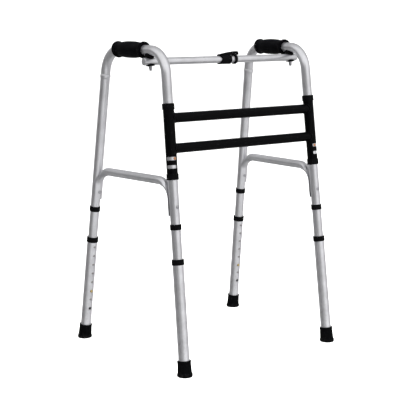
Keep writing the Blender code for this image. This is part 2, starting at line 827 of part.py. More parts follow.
def brace_tubes(hinge, bolts, look):
    left_end = bolts["left"].location.x - HINGE_X - BAR_OVERHANG
    right_end = bolts["right"].location.x - HINGE_X + BAR_OVERHANG
    brace_tube("left", left_end, SOCKET_END - GAP, hinge, bolts["left"], look)
    right = brace_tube("right", right_end, RIGHT_BAR_START, hinge, bolts["right"], look)
    boolean(right, rod(-2 * BAR_R, 2 * BAR_R, PIN_HINGE_R + GAP), hinge)
    half = TONGUE_HALF_HEIGHT + GAP
    mouth = block((RIGHT_BAR_START - BAR_R, 0, -half), (TONGUE_R + 2 * GAP, 2 * BAR_R, half))
    boolean(right, mouth, hinge)


def upper_bar_saddle(side, bolt, look):
    profile = [(0, UPPER_SADDLE_TIP), (UPPER_SADDLE_TIP_R, UPPER_SADDLE_TIP)]
    profile += [(UPPER_SADDLE_R, saddle_split()), (0, saddle_split())]
    made = piece(f"upper_bar_saddle_{side}", turned(profile), bolt, look)
    boolean(made, moved(rod(-2 * BAR_R, 2 * BAR_R, BAR_R + GAP, sides=SIDES), TO_X), bolt)
    boolean(made, rod(0, 2 * BAR_R, BOLT_R + GAP), bolt)


def lower_saddle_bottom():
    return -BAR_R - GAP - LOWER_SADDLE_WEB


def lower_bar_saddle(side, bolt, look):
    bottom, radius = lower_saddle_bottom(), LOWER_SADDLE_R
    profile = [(0, bottom), (radius - LOWER_SADDLE_EDGE, bottom), (radius, bottom + LOWER_SADDLE_EDGE)]
    profile += [(radius, -LOWER_SADDLE_TOP), (0, -LOWER_SADDLE_TOP)]
    made = piece(f"lower_bar_saddle_{side}", turned(profile), bolt, look)
    boolean(made, moved(rod(-2 * BAR_R, 2 * BAR_R, BAR_R + GAP, sides=SIDES), TO_X), bolt)
    boolean(made, rod(-2 * BAR_R, 0, BOLT_R + GAP), bolt)


def bolt_head_seat():
    """Height of the head's underside above the rail's lower wall, clear of the bore's curve."""
    bore = TUBE_R - TUBE_WALL
    return rail_above_bar() - math.sqrt(bore**2 - BOLT_HEAD_R**2) + 2 * GAP


def brace_bolt(side, bolt, look):
    """Bolt with a tapered cap; the right one ends under the rail saddle."""
    neck = lower_saddle_bottom() - GAP
    tip = neck - BOLT_CAP_LENGTH
    profile = [(0, tip), (BOLT_CAP_TIP_R, tip), (BOLT_CAP_R, neck), (BOLT_R, neck)]
    if side == "left":
        seat = bolt_head_seat()
        top = seat + BOLT_HEAD_THICK
        profile += [(BOLT_R, seat), (BOLT_HEAD_R, seat), (BOLT_HEAD_R, top), (0, top)]
    else:
        profile += [(BOLT_R, saddle_split()), (0, saddle_split())]
    piece(f"brace_bolt_{side}", turned(profile, sides=SMALL_SIDES), bolt, look)


def hinge_housing(hinge, look):
    socket = BAR_R + GAP
    body = moved(rod(HOUSING_START, HOUSING_END, HOUSING_R, sides=SIDES), TO_X)
    made = piece("hinge_housing", body, hinge, look)
    beyond = 2 * HOUSING_R
    relief = block((REAR_RELIEF_START, REAR_RELIEF_Y, -beyond), (BAR_R, beyond, beyond))
    boolean(made, moved(rod(HOUSING_START - GAP, SOCKET_END, socket, sides=SIDES), TO_X), hinge)
    boolean(made, rod(-BAR_R - 2 * GAP, BAR_R + 2 * GAP, SWING_R, sides=2 * SIDES), hinge)
    boolean(made, relief, hinge)
    half = TONGUE_HALF_HEIGHT
    steps = [math.pi * (step / 8 - 0.5) for step in range(9)]
    nose = [(TONGUE_R * math.cos(a), TONGUE_R * math.sin(a)) for a in steps]
    outline = [(-SWING_R - TONGUE_R / 2, TONGUE_R), (-SWING_R - TONGUE_R / 2, -TONGUE_R), *nose]
    floor = [Vector((x, y, -half)) for x, y in outline]
    tongue = skin([floor, [Vector((p.x, p.y, half)) for p in floor]])
    boolean(made, tongue, hinge, "UNION")
    boolean(made, rod(-BAR_R, BAR_R, PIN_HINGE_R + GAP), hinge)
    groove = moved(rod(-LEVER_HALF_WIDTH - GAP, LEVER_HALF_WIDTH + GAP, LEVER_PIVOT_R + GAP), TO_FRONT)
    boolean(made, moved(groove, Matrix.Translation((LEVER_PIVOT_X, 0, LEVER_PIVOT_Z))), hinge)


def hinge_ring(hinge, look):
    bore = BAR_R + GAP
    profile = [(RING_R, RING_START), (RING_R, RING_END), (bore, RING_END), (bore, RING_START)]
    piece("hinge_ring", moved(turned(profile, closed=True), TO_X), hinge, look)


def hinge_pin(hinge, look):
    """Pin of the middle hinge, headed over the right half bar's wall at both ends."""
    seat = BAR_R + GAP
    top = seat + PIN_HINGE_HEAD_THICK
    profile = [
        (0, -top), (PIN_HINGE_HEAD_R, -top), (PIN_HINGE_HEAD_R, -seat), (PIN_HINGE_R, -seat),
        (PIN_HINGE_R, seat), (PIN_HINGE_HEAD_R, seat), (PIN_HINGE_HEAD_R, top), (0, top),
    ]
    piece("hinge_pin", turned(profile, sides=SMALL_SIDES), hinge, look)


def lock_lever(hinge, look):
    """Lever hugging the housing, its head hooked over the ring, hollowed for the ring's swing."""
    under = HOUSING_R + GAP
    turns = [math.radians(60 + 40 * step) for step in range(8)]
    nose = [(LEVER_PIVOT_R * math.cos(a), LEVER_PIVOT_R * math.sin(a)) for a in turns]
    outline = [(LEVER_PIVOT_X + x, LEVER_PIVOT_Z + z) for x, z in nose]
    start, tip = LEVER_PIVOT_X + LEVER_PIVOT_R, RING_END + LEVER_OVERHANG
    cheek, low = start + LEVER_CHEEK, under - LEVER_CHEEK
    outline += [(start, under + GAP), (cheek, under + GAP), (cheek, low), (tip, low)]
    outline += [(tip, LEVER_TOP_Z - LEVER_NOSE), (tip - LEVER_NOSE, LEVER_TOP_Z)]
    outline += [(LEVER_CREST_X, LEVER_TOP_Z), (start, under + GAP + LEVER_ARM_THICK)]
    made = piece("lock_lever", extruded(outline, LEVER_HALF_WIDTH), hinge, look)
    step = RING_START - GAP
    over = RING_R + 2 * GAP
    hollow = [(under, start), (under, step), (RING_R + GAP, step), (RING_R + GAP, RING_END + GAP)]
    boolean(made, moved(turned(hollow), TO_X), hinge)
    boolean(made, block((REAR_RELIEF_START, GAP, 0), (tip + GAP, 2 * LEVER_HALF_WIDTH, over)), hinge)
    reach = math.hypot(RING_END, math.sqrt(RING_R**2 - low**2)) + GAP
    spread = math.acos(step / reach)
    angles = [spread * (count / LEVER_SWING_STEPS - 1) for count in range(2 * LEVER_SWING_STEPS + 1)]
    swing = [(reach * math.cos(angle), reach * math.sin(angle)) for angle in angles]
    boolean(made, moved(extruded(swing, over), TO_FRONT), hinge)


def legs(front, rear):
    """Name, axis, length measure and turn of the two legs of a side frame."""
    return (("front", front, front_length, TO_BACK), ("rear", rear, rear_length, TO_FRONT))


def top_brace(hinge, bolts, looks):
    brace_tubes(hinge, bolts, looks["aluminium"])
    hinge_housing(hinge, looks["black_plastic"])
    hinge_ring(hinge, looks["black_plastic"])
    hinge_pin(hinge, looks["zinc_steel"])
    lock_lever(hinge, looks["black_plastic"])
    for side, bolt in bolts.items():
        upper_bar_saddle(side, bolt, looks["black_plastic"])
        lower_bar_saddle(side, bolt, looks["black_plastic"])
        brace_bolt(side, bolt, looks["zinc_steel"])


def side_frame(side, frame, front, rear, bolt, looks):
    side_tube(side, frame, front, bolt, looks["aluminium"])
    rear_leg_tube(side, rear, looks["aluminium"])
    side_brace(side, frame, front, rear, looks["aluminium"])
    for where, line, length_of, turn in legs(front, rear):
        rivet, collar = length_of(rivet_height()), length_of(stop_collar_height())
        side_rivet(f"side_rivet_{where}_{side}", line, rivet, turn, looks["zinc_steel"])
        stop_collar(f"stop_collar_{where}_{side}", line, collar, looks["black_plastic"])
    grip(side, frame, looks["grip_rubber"])
    stop_pin(side, front, looks["copper"])
    rail_saddle(side, frame, bolt, looks["black_plastic"])
    for (where, line, length_of, turn), sign in zip(legs(front, rear), (1, -1)):
        lower_leg(f"{where}_{side}", line, length_of, turn, sign, looks)


def all_looks():
    return {
        "aluminium": material("aluminium", (0.62, 0.62, 0.65), 0.38, 0.9),
        "black_paint": material("black_paint", (0.012, 0.012, 0.016), 0.35, 0.0),
        "black_plastic": material("black_plastic", (0.015, 0.015, 0.018), 0.5, 0.0),
        "grip_rubber": material("grip_rubber", (0.012, 0.011, 0.014), 0.6, 0.0),
        "rubber": material("rubber", (0.010, 0.009, 0.012), 0.75, 0.0),
        "brass": material("brass", (0.65, 0.50, 0.22), 0.35, 1.0),
        "copper": material("copper", (0.55, 0.25, 0.13), 0.40, 1.0),
        "zinc_steel": material("zinc_steel", (0.55, 0.55, 0.56), 0.40, 1.0),
        "spring_steel": material("spring_steel", (0.40, 0.40, 0.42), 0.35, 1.0),
    }


def main():
    clear_scene()
    looks = all_looks()
    bolts, fronts, frames, rears = {}, {}, {}, {}
    for side, sign in SIDE_SIGNS.items():
        place, turn, _ = side_matrix(sign).decompose()
        frames[side] = empty(f"side_plane_{side}", None, place, turn.to_euler())
        fronts[side] = empty(f"front_axis_{side}", frames[side], (0, 0, 0), (-FRONT_LEAN, 0, 0))
        rears[side] = empty(f"rear_axis_{side}", frames[side], (0, FOOT_SPREAD, 0), (REAR_LEAN, 0, 0))
        bolts[side] = empty(f"bolt_axis_{side}", None, bolt_place(sign), (-bolt_tilt(), 0, 0))
    middle = Vector((HINGE_X, bolts["left"].location.y, bolts["left"].location.z))
    hinge = empty("hinge_axis", None, middle, (-bolt_tilt(), 0, 0))
    bpy.context.view_layer.update()
    front_frame(fronts, looks)
    for side in SIDE_SIGNS:
        side_frame(side, frames[side], fronts[side], rears[side], bolts[side], looks)
    top_brace(hinge, bolts, looks)


main()
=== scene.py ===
# Folding walker: the finished surfaces, materials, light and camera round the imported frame.
# Metres, z up, -y to the front; left is the side nearest the camera.

import json
import math

import bmesh
import bpy
import numpy as np
from mathutils import Matrix, Vector


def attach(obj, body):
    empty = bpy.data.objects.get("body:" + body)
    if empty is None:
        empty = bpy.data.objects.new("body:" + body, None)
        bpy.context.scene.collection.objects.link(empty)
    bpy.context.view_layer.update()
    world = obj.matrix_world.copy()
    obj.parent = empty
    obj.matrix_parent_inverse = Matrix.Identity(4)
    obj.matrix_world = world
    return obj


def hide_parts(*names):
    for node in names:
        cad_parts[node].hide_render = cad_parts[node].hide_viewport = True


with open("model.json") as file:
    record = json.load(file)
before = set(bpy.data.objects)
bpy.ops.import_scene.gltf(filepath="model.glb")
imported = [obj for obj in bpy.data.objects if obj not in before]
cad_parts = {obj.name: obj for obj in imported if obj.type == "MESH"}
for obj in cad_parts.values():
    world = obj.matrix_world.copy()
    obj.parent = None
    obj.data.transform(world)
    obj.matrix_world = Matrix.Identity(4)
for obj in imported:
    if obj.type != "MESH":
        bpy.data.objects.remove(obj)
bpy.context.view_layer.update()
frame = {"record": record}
bodyOf = {node: body for body, nodes in frame["record"]["behaviour"]["bodies"].items() for node in nodes}
print("frame loaded")

sides = {"left": -1, "right": 1}
stance = {"frontFootX": 0.2457, "footSpread": 0.4462, "camber": math.radians(1.36),
          "toeOut": math.radians(2.9), "railHeight": 0.8065, "frontBend": 0.063, "rearBend": 0.066,
          "tubeEnd": 0.103, "joint": 0.740, "swage": 0.035, "tubeRadius": 0.0127, "tubeWall": 0.0013,
          "gap": 0.0003}
legs = {"front": {"at": 0.0, "way": 1, "lean": math.radians(6.87)},
        "rear": {"at": stance["footSpread"], "way": -1, "lean": math.radians(7.5)}}
tubeRadius, tubeWall, gap = stance["tubeRadius"], stance["tubeWall"], stance["gap"]
tubeBore, seatRadius = tubeRadius - tubeWall, tubeRadius + gap


# Places


def shift(x, y, z):
    return np.array(Matrix.Translation((x, y, z)))


def turn(angle, axis):
    return np.array(Matrix.Rotation(angle, 4, axis))


def carried(matrix, points):
    # each point turned and moved by the matrix
    return points @ matrix[:3, :3].T + matrix[:3, 3]


def legLine(where, height, offset=0.0):
    # point of the side plane on a leg's axis: y = at +- (z tan(lean) + offset / cos(lean))
    leg = legs[where]
    inward = height * math.tan(leg["lean"]) + offset / math.cos(leg["lean"])
    return np.array([leg["at"] + leg["way"] * inward, height])


def legLength(where, height):
    return height / math.cos(legs[where]["lean"])


def sidePlane(sign):
    foot = shift(sign * stance["frontFootX"], -stance["footSpread"] * math.cos(stance["toeOut"]) / 2, 0)
    return foot @ turn(-sign * stance["toeOut"], "Z") @ turn(-sign * stance["camber"], "Y")


def legAxis(where, sign):
    leg = legs[where]
    return sidePlane(sign) @ shift(0, leg["at"], 0) @ turn(-leg["way"] * leg["lean"], "X")


def onSide(sign, point):
    return carried(sidePlane(sign), np.array([[0, point[0], point[1]]]))[0]


brace = {"setback": 0.0624, "barRadius": 0.0095, "barWall": 0.0013, "below": 0.0058, "hingeX": 0.0245,
         "overhang": 0.020, "endWall": 0.0013}
barRadius = brace["barRadius"]
barDrop = tubeRadius + barRadius + brace["below"]
legTop = onSide(-1, legLine("front", stance["railHeight"])) - onSide(-1, legLine("front", 0))
boltTilt = math.atan2(legTop[1], legTop[2])
railAboveBar = barDrop / math.cos(boltTilt)


def boltPlace(sign):
    onRail = onSide(sign, legLine("front", stance["railHeight"], brace["setback"]))
    return onRail - np.array([0, math.tan(boltTilt), 1]) * barDrop


def boltAxis(sign):
    return shift(*boltPlace(sign)) @ turn(-boltTilt, "X")


leftBolt = boltPlace(-1)
hingeAxis = shift(brace["hingeX"], leftBolt[1], leftBolt[2]) @ turn(-boltTilt, "X")
toX, toFront, toBack = turn(math.pi / 2, "Y"), turn(math.pi / 2, "X"), turn(-math.pi / 2, "X")
legs["front"]["facing"], legs["rear"]["facing"] = toBack, toFront


# Surfaces


def gridQuads(rows, columns, wrapRows=False):
    # quads of a grid numbered row by row, closed round its columns
    low = np.arange(rows if wrapRows else rows - 1)[:, None]
    left = np.arange(columns)[None, :]
    high, right = (low + 1) % rows, (left + 1) % columns
    first, second = low * columns, high * columns
    return gathered(first + left, first + right, second + right, second + left).reshape(-1, 4)


def bandQuads(first, second):
    # quads between two closed rings of equal count
    return gathered(first, np.roll(first, -1), np.roll(second, -1), second)


def fullTurn(around):
    return np.linspace(0, 2 * np.pi, around, endpoint=False)


def gathered(*columns):
    # coordinates spread to one grid and set side by side on its last axis
    return np.stack(np.broadcast_arrays(*columns), axis=-1)


def ringPoints(radius, angle, height):
    # x = r cos a, y = r sin a, z = h
    return gathered(radius * np.cos(angle), radius * np.sin(angle), height).reshape(-1, 3)


def surface(points, quads, rod=None):
    # rod holds each point's place on the straight piece, for patterns that follow it
    return {"points": points, "quads": quads, "rod": points.copy() if rod is None else rod}


def outward(points, quads, rod=None):
    # the volume under the quads is positive when they face outwards
    p = points - points.mean(0)
    a, b, c, d = [p[quads[:, k]] for k in range(4)]
    volume = (np.cross(a, b) * c).sum() + (np.cross(a, c) * d).sum()
    return surface(points, quads if volume > 0 else quads[:, ::-1], rod)


def softCorners(corners, closed=False, steps=5):
    # each (radius, height, fillet) corner becomes the curve (1-t)^2 before + 2t(1-t) corner + t^2 after,
    # with one more point a little way along each side to keep the flats flat
    places = np.array([corner[:2] for corner in corners], float)
    fillets = np.array([corner[2] if len(corner) > 2 else 0.0 for corner in corners])[:, None]
    ways = [np.roll(places, step, axis=0) - places for step in (1, -1)]
    if not closed:
        ways[0][0], ways[1][-1] = 0, 0
    lengths = [np.maximum(np.linalg.norm(way, axis=1, keepdims=True), 1e-9) for way in ways]

    def cut(reach, share):
        return [places + way / length * np.minimum(reach, share * length)
                for way, length in zip(ways, lengths)]

    start, end = cut(fillets, 0.49)
    lead, trail = cut(fillets * 1.6, 0.495)
    t = np.linspace(0, 1, steps)[None, :, None]
    curve = (1 - t) ** 2 * start[:, None] + 2 * t * (1 - t) * places[:, None] + t**2 * end[:, None]
    line = np.concatenate([lead[:, None], curve, trail[:, None]], axis=1).reshape(-1, 2)
    keep = np.linalg.norm(line - np.roll(line, 1, axis=0), axis=1) > 1e-7
    keep[0] |= not closed
    return line[keep]


def lathe(corners, closed=False, around=72, steps=5):
    # the soft profile goes once round z
    profile = softCorners(corners, closed, steps)
    points = ringPoints(profile[:, :1], fullTurn(around), profile[:, 1:])
    return surface(points, gridQuads(len(profile), around, closed))


def stepped(*steps):
    # corners of a turned piece from steps of (radius, low, high, fillet below, fillet above)
    sides = [corner for radius, low, high, under, over in steps
             for corner in ((radius, low, under), (radius, high, over))]
    return [(0, steps[0][1]), *sides, (0, steps[-1][2])]


def placed(shape, matrix):
    return {**shape, "points": carried(matrix, shape["points"])}


def opening(angle, at, wide, tall, margin=0.003, power=1.0):
    # half sizes of an opening in a tube and of the patch of cells round it
    patch = wide + margin, tall + margin
    return {"angle": angle, "at": at, "half": np.array([[wide], [tall]]), "patch": patch, "power": power}


def withLines(lines, middle, half, cells):
    # the lines between middle - half and middle + half give way to evenly spaced ones
    outside = lines[np.abs(lines - middle) > half * 1.02]
    return np.sort(np.concatenate([outside, np.linspace(middle - half, middle + half, cells + 1)]))


def piercedTube(stations, outer, inner, openings, seam, place, cells=8, chamfer=0.0002):
    # wall of a tube unrolled on (angle, distance), with a square patch of cells round each opening
    # given way to rings that run from the patch's edge to the opening's outline
    angles, rows = fullTurn(80) + seam, np.unique(np.round(stations, 7))
    size = float(np.interp(rows[0], *outer.T))
    for hole in openings:
        hole["angle"] = seam + (hole["angle"] - seam) % (2 * np.pi)
        angles = withLines(angles, hole["angle"], hole["patch"][0] / size, cells)
        rows = withLines(rows, hole["at"], hole["patch"][1], cells)
    angles = angles[np.concatenate([[True], np.diff(angles) > 1e-6])]
    rows = rows[np.concatenate([[True], np.diff(rows) > 1e-7])]
    count, columns = len(rows), len(angles)
    total = count * columns
    number, keep = np.arange(total).reshape(count, columns), np.ones((count - 1, columns), bool)
    grid = np.stack([part.ravel() for part in np.meshgrid(angles, rows)])
    flat, insets, rings, rims = [grid], [np.zeros(total)], [], [number[-1]]
    for hole in openings:
        wide, tall = hole["patch"]
        i = int(np.argmin(np.abs(rows - (hole["at"] - tall))))
        j = int(np.argmin(np.abs(angles - (hole["angle"] - wide / size))))
        keep[i:i + cells, j:j + cells] = False
        patch = number[i:i + cells + 1, j:j + cells + 1]
        ring = np.concatenate([patch[0, :-1], patch[:-1, -1], patch[-1, :0:-1], patch[:0:-1, 0]])
        edge = np.stack([(grid[0, ring] - hole["angle"]) * size, grid[1, ring] - hole["at"]])
        way = np.arctan2(edge[1] / tall, edge[0] / wide)
        unit = np.stack([np.cos(way), np.sin(way)])
        rim = hole["half"] * np.sign(unit) * np.abs(unit) ** hole["power"]
        bevel = rim * (1 + chamfer / np.hypot(*rim))
        for spots, inset in (((edge + bevel) / 2, 0.0), (bevel, 0.0), (rim, chamfer)):
            after = total + np.arange(len(ring))
            total += len(ring)
            flat.append(np.stack([hole["angle"] + spots[0] / size, hole["at"] + spots[1]]))
            insets.append(np.full(len(ring), inset))
            rings.append(bandQuads(ring, after))
            ring = after
        rims.append(ring)
    sheet = np.concatenate([gridQuads(count, columns).reshape(count - 1, columns, 4)[keep], *rings])
    walls = [bandQuads(rim, rim + total) for rim in rims] + [bandQuads(number[0] + total, number[0])]
    theta, row = np.concatenate(flat, axis=1)
    radius = np.concatenate([np.interp(row, *outer.T) - np.concatenate(insets), np.interp(row, *inner.T)])
    theta, row = np.tile(theta, 2), np.tile(row, 2)
    quads = np.concatenate([sheet, sheet[:, ::-1] + total, *walls])
    return surface(place(theta, row, radius), quads, ringPoints(radius, theta, row))


def routeThrough(corners, bends):
    # straight runs and arcs through the corners: rows of start, length, point, heading and curvature
    runs, cursor, distance = [], corners[0], 0.0
    for before, corner, after, bend in zip(corners, corners[1:], corners[2:], bends):
        into = (corner - before) / np.linalg.norm(corner - before)
        out = (after - corner) / np.linalg.norm(after - corner)
        swing = math.atan2(into[0] * out[1] - into[1] * out[0], float(into @ out))
        reach = bend * math.tan(abs(swing) / 2)
        straight = float(np.linalg.norm(corner - into * reach - cursor))
        runs.append((distance, straight, *cursor, *into, 0.0))
        distance += straight
        curvature = math.copysign(1 / bend, swing)
        runs.append((distance, bend * abs(swing), *(corner - into * reach), *into, curvature))
        distance += bend * abs(swing)
        cursor = corner + out * reach
    last = corners[-1] - cursor
    length = float(np.linalg.norm(last))
    runs.append((distance, length, *cursor, *(last / length), 0.0))
    return np.array(runs)


def alongRoute(route, distance):
    # on an arc: point + heading sin(turn) / curve + side (1 - cos(turn)) / curve
    index = np.clip(np.searchsorted(route[:, 0], distance, side="right") - 1, 0, len(route) - 1)
    start, _, px, py, hx, hy, curve = route[index].T
    bent, swing = np.where(curve == 0, 1, curve), (distance - start) * curve
    ahead = np.where(curve == 0, distance - start, np.sin(swing) / bent)
    aside = np.where(curve == 0, 0, (1 - np.cos(swing)) / bent)
    point = gathered(px + hx * ahead - hy * aside, py + hy * ahead + hx * aside)
    cosine, sine = np.cos(swing), np.sin(swing)
    return point, gathered(hx * cosine - hy * sine, hy * cosine + hx * sine)


def routeStations(route, low, high, straightStep=0.02, bendStep=math.radians(5)):
    # evenly spaced on each run, closer in the bends
    found = [np.array([low, high])]
    for start, length, *_, curve in route:
        steps = math.ceil(length * abs(curve) / bendStep if curve else length / straightStep)
        found.append(start + length * np.arange(steps + 1) / max(steps, 1))
    stations = np.unique(np.round(np.concatenate(found), 7))
    return stations[(stations >= low - 1e-7) & (stations <= high + 1e-7)]


def ringPlace(matrix, route):
    # angle 0 points across the side plane, and the angle turns right-handed about the heading
    def place(theta, distance, radius):
        point, heading = alongRoute(route, distance)
        side, up = radius * np.cos(theta), radius * np.sin(theta)
        back, high = point[:, 0] + heading[:, 1] * up, point[:, 1] - heading[:, 0] * up
        return carried(matrix, gathered(side, back, high))
    return place


def straightPlace(matrix):
    return lambda theta, distance, radius: carried(matrix, ringPoints(radius, theta, distance))


def addTube(node, look, stations, outer, bore, openings, seam, axis):
    # a straight tube of one bore
    low, high = outer[0, 0], outer[-1, 0]
    inner = np.array([[low, bore], [high, bore]])
    addPiece(node, piercedTube(stations, outer, inner, openings, seam, straightPlace(axis)), look)


def endSoft(low, high, radius, fillet):
    # radius against distance, drawn in at both ends
    drawn = radius - fillet
    return np.array([[low, drawn], [low + fillet, radius], [high - fillet, radius], [high, drawn]])


# Meshes and pieces


def cleaned(mesh, distance, sharp, mend=None):
    # doubles merged, an own mending step, then smooth shading with creases past the sharp angle
    bm = bmesh.new()
    bm.from_mesh(mesh)
    bmesh.ops.remove_doubles(bm, verts=bm.verts, dist=distance)
    if mend:
        mend(bm)
    bm.to_mesh(mesh)
    bm.free()
    mesh.shade_smooth()
    mesh.set_sharp_from_angle(angle=math.radians(sharp))
    return mesh


def meshOf(name, shape):
    mesh = bpy.data.meshes.new(name)
    points, quads = shape["points"], shape["quads"]
    mesh.vertices.add(len(points))
    mesh.vertices.foreach_set("co", points.astype(np.float32).ravel())
    mesh.loops.add(quads.size)
    mesh.loops.foreach_set("vertex_index", quads.astype(np.int32).ravel())
    mesh.polygons.add(len(quads))
    mesh.polygons.foreach_set("loop_start", np.arange(0, quads.size, 4, dtype=np.int32))
    mesh.update(calc_edges=True)
    rod = mesh.attributes.new("rod", "FLOAT_VECTOR", "POINT")
    rod.data.foreach_set("vector", shape["rod"].astype(np.float32).ravel())
    return cleaned(mesh, 1e-6, 32)


def linked(name, data):
    made = bpy.data.objects.new(name, data)
    bpy.context.scene.collection.objects.link(made)
    return made


def camelName(node):
    first, *rest = node.split("_")
    return first + "".join(word.capitalize() for word in rest)


def addMesh(node, mesh, look, body=None):
    # a piece in the place of its node, or one on its own that rides on the named body
    finish, slot = finishes[look]
    made = linked(camelName(node), mesh)
    mesh.materials.append(finish)
    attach(made, body or bodyOf[node])
    if not body:
        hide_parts(node)
    return made


def addPiece(node, shape, look, body=None):
    return addMesh(node, meshOf(camelName(node), shape), look, body)


def addTurned(node, look, matrix, corners, closed=False, around=72):
    return addPiece(node, placed(lathe(corners, closed, around), matrix), look)


def carve(made, cutters):
    # takes closed shapes out of a piece and leaves a plain mesh
    for shape in cutters:
        tool = linked(f"{made.name}Cut", meshOf("cut", shape))
        modifier = made.modifiers.new("cut", "BOOLEAN")
        modifier.operation, modifier.solver, modifier.object = "DIFFERENCE", "EXACT", tool
        bpy.context.view_layer.update()
        carved = bpy.data.meshes.new_from_object(made.evaluated_get(bpy.context.evaluated_depsgraph_get()))
        made.modifiers.clear()
        old, made.data = made.data, carved
        bpy.data.meshes.remove(old)
        bpy.data.objects.remove(tool)

    def mend(bm):
        bmesh.ops.holes_fill(bm, edges=[edge for edge in bm.edges if len(edge.link_faces) == 1], sides=8)

    cleaned(made.data, 2e-6, 28, mend)


# Materials


class Sock:
    # a node's output, on which sums, products and powers add Math nodes
    def __init__(self, finish, socket):
        self.finish, self.socket = finish, socket

    def maths(self, operation, *others):
        return self.finish.node("Math", {"operation": operation}, [self, *others])

    def __add__(self, other):
        return self.maths("ADD", other)

    def __sub__(self, other):
        return self.maths("SUBTRACT", other)

    def __rsub__(self, other):
        return self.finish.node("Math", {"operation": "SUBTRACT"}, [other, self])

    def __mul__(self, other):
        return self.maths("MULTIPLY", other)

    def __pow__(self, other):
        return self.maths("POWER", other)

    __radd__, __rmul__ = __add__, __mul__


class Finish:
    # a material or the sky: its nodes and the shader that they feed
    def __init__(self, holder, shader="Principled BSDF", **fixed):
        holder.use_nodes = True
        self.holder, self.tree, self.shader = holder, holder.node_tree, holder.node_tree.nodes[shader]
        for key, value in fixed.items():
            self.set(key, value)

    def node(self, kind, settings=None, inputs=(), output=0):
        made = self.tree.nodes.new(f"ShaderNode{kind}")
        for key, value in (settings or {}).items():
            setattr(made, key, value)
        for key, value in inputs.items() if isinstance(inputs, dict) else enumerate(inputs):
            self.feed(made.inputs[key], value)
        return Sock(self, made.outputs[output])

    def feed(self, socket, value):
        if isinstance(value, Sock):
            self.tree.links.new(value.socket, socket)
        else:
            socket.default_value = value

    def set(self, key, value):
        self.feed(self.shader.inputs[key.replace("_", " ")], value)

    def part(self, vector, axis):
        return self.node("SeparateXYZ", inputs=[vector], output=axis)

    def between(self, value, low, high, start=0.0, end=1.0):
        # 0 below low, 1 above high, smooth in between, then spread over start to end
        inputs = {"Value": value, "From Min": low, "From Max": high, "To Min": start, "To Max": end}
        return self.node("MapRange", {"interpolation_type": "SMOOTHSTEP"}, inputs)

    def rod(self):
        # place on the tube before it was bent, from the piece's own attribute
        return self.node("Attribute", {"attribute_name": "rod"}, output="Vector")

    def place(self):
        return self.node("TexCoord", output="Object")

    def height(self):
        return self.part(self.place(), 2)

    def stretched(self, vector, x, y, z):
        return self.node("VectorMath", {"operation": "MULTIPLY"}, [vector, (x, y, z)])

    def noise(self, vector, scale, detail=2.0, roughness=0.5):
        inputs = {"Vector": vector, "Scale": scale, "Detail": detail, "Roughness": roughness}
        return self.node("TexNoise", inputs=inputs)

    def mixed(self, share, first, second):
        return self.node("Mix", {"data_type": "RGBA"}, {0: share, 6: first, 7: second}, output=2)

    def dressed(self, tone, roughness, height, strength, distance):
        # the three varying inputs, with the height as a bump
        self.set("Base_Color", tone)
        self.set("Roughness", roughness)
        inputs = {"Height": height, "Strength": strength, "Distance": distance}
        self.set("Normal", self.node("Bump", inputs=inputs))
        return self.holder


def colour(red, green, blue):
    return (red, green, blue, 1.0)


def material(name, **fixed):
    return Finish(bpy.data.materials.new(name), **fixed)


def holeShadeSpots(finish, rod):
    # painted shade spots behind the row of holes, darkening the inner tube where the holes are in shade: 1
    # where sqrt(x^2 + w^2) is small, w the height over the nearest hole
    spots = {"first": 0.1395, "apart": 0.0252, "radius": 0.0042, "low": 0.103, "high": 0.276, "fade": 0.003}
    height = finish.height()
    over = ((height - spots["first"]) * (1 / spots["apart"]) + 0.5).maths("FRACT") - 0.5
    aside, over = finish.part(rod, 0), over * spots["apart"]
    spot = finish.between((aside * aside + over * over) ** 0.5, 0.6 * spots["radius"], spots["radius"], 1, 0)
    above = finish.between(height, spots["low"] - spots["fade"], spots["low"])
    return spot * above * finish.between(height, spots["high"] - spots["fade"], spots["high"], 1, 0)


def tubeAluminium(name, scuffed, bright):
    # the dark tone is real grime on the leg tubes and painted shade in the holes on the other tubes
    look = {"tone": colour(0.70 * bright, 0.70 * bright, 0.725 * bright), "dull": colour(0.60, 0.60, 0.62),
            "scratch": colour(0.84, 0.84, 0.86), "grime": colour(0.22, 0.20, 0.18)}
    finish = material(name, Metallic=0.92, IOR=1.5)
    rod = finish.rod()
    drawn = finish.noise(finish.stretched(rod, 1, 1, 0.012), 900, 2.0)
    patches = finish.noise(rod, 26, 3.0, 0.6)
    satin = finish.noise(rod, 3200, 1.0)
    lines = finish.noise(finish.stretched(rod, 1, 1, 0.02), 420, 1.0)
    scratches = finish.between(lines, 0.70, 0.76)
    nicks = finish.between(finish.noise(finish.stretched(rod, 1, 1, 0.35), 640, 1.0), 0.74, 0.79)
    tone = finish.mixed(finish.between(patches, 0.35, 0.7), look["tone"], look["dull"])
    tone = finish.mixed(finish.between(drawn, 0.3, 0.75, 0, 0.35), tone, look["dull"])
    tone = finish.mixed(scratches * (0.5 * scuffed), tone, look["scratch"])
    marks = scratches * (0.12 * scuffed) + nicks * (0.2 * scuffed)
    if scuffed < 0.5:
        # painted shade: the inner tube takes the dark tone where it shows through the holes of the outer leg
        # tube
        shadeSpots = holeShadeSpots(finish, rod)
        tone = finish.mixed(shadeSpots * 0.75, tone, look["grime"])
        marks = marks + shadeSpots * 0.2
    else:
        # real grime towards the floor on the leg tubes, in the same dark tone
        low = 1 - finish.between(finish.height(), 0.03, 0.16)
        grime = low * finish.between(finish.noise(rod, 90, 4.0, 0.65), 0.48, 0.75) * 0.35
        tone = finish.mixed(grime, tone, look["grime"])
        marks = marks + grime * 0.4
    heights = drawn * 0.5 + satin * 0.35 - scratches * 0.8 - nicks * 0.6
    return finish.dressed(tone, 0.22 + 0.10 * patches + 0.06 * drawn + marks, heights, 0.22, 0.00006)


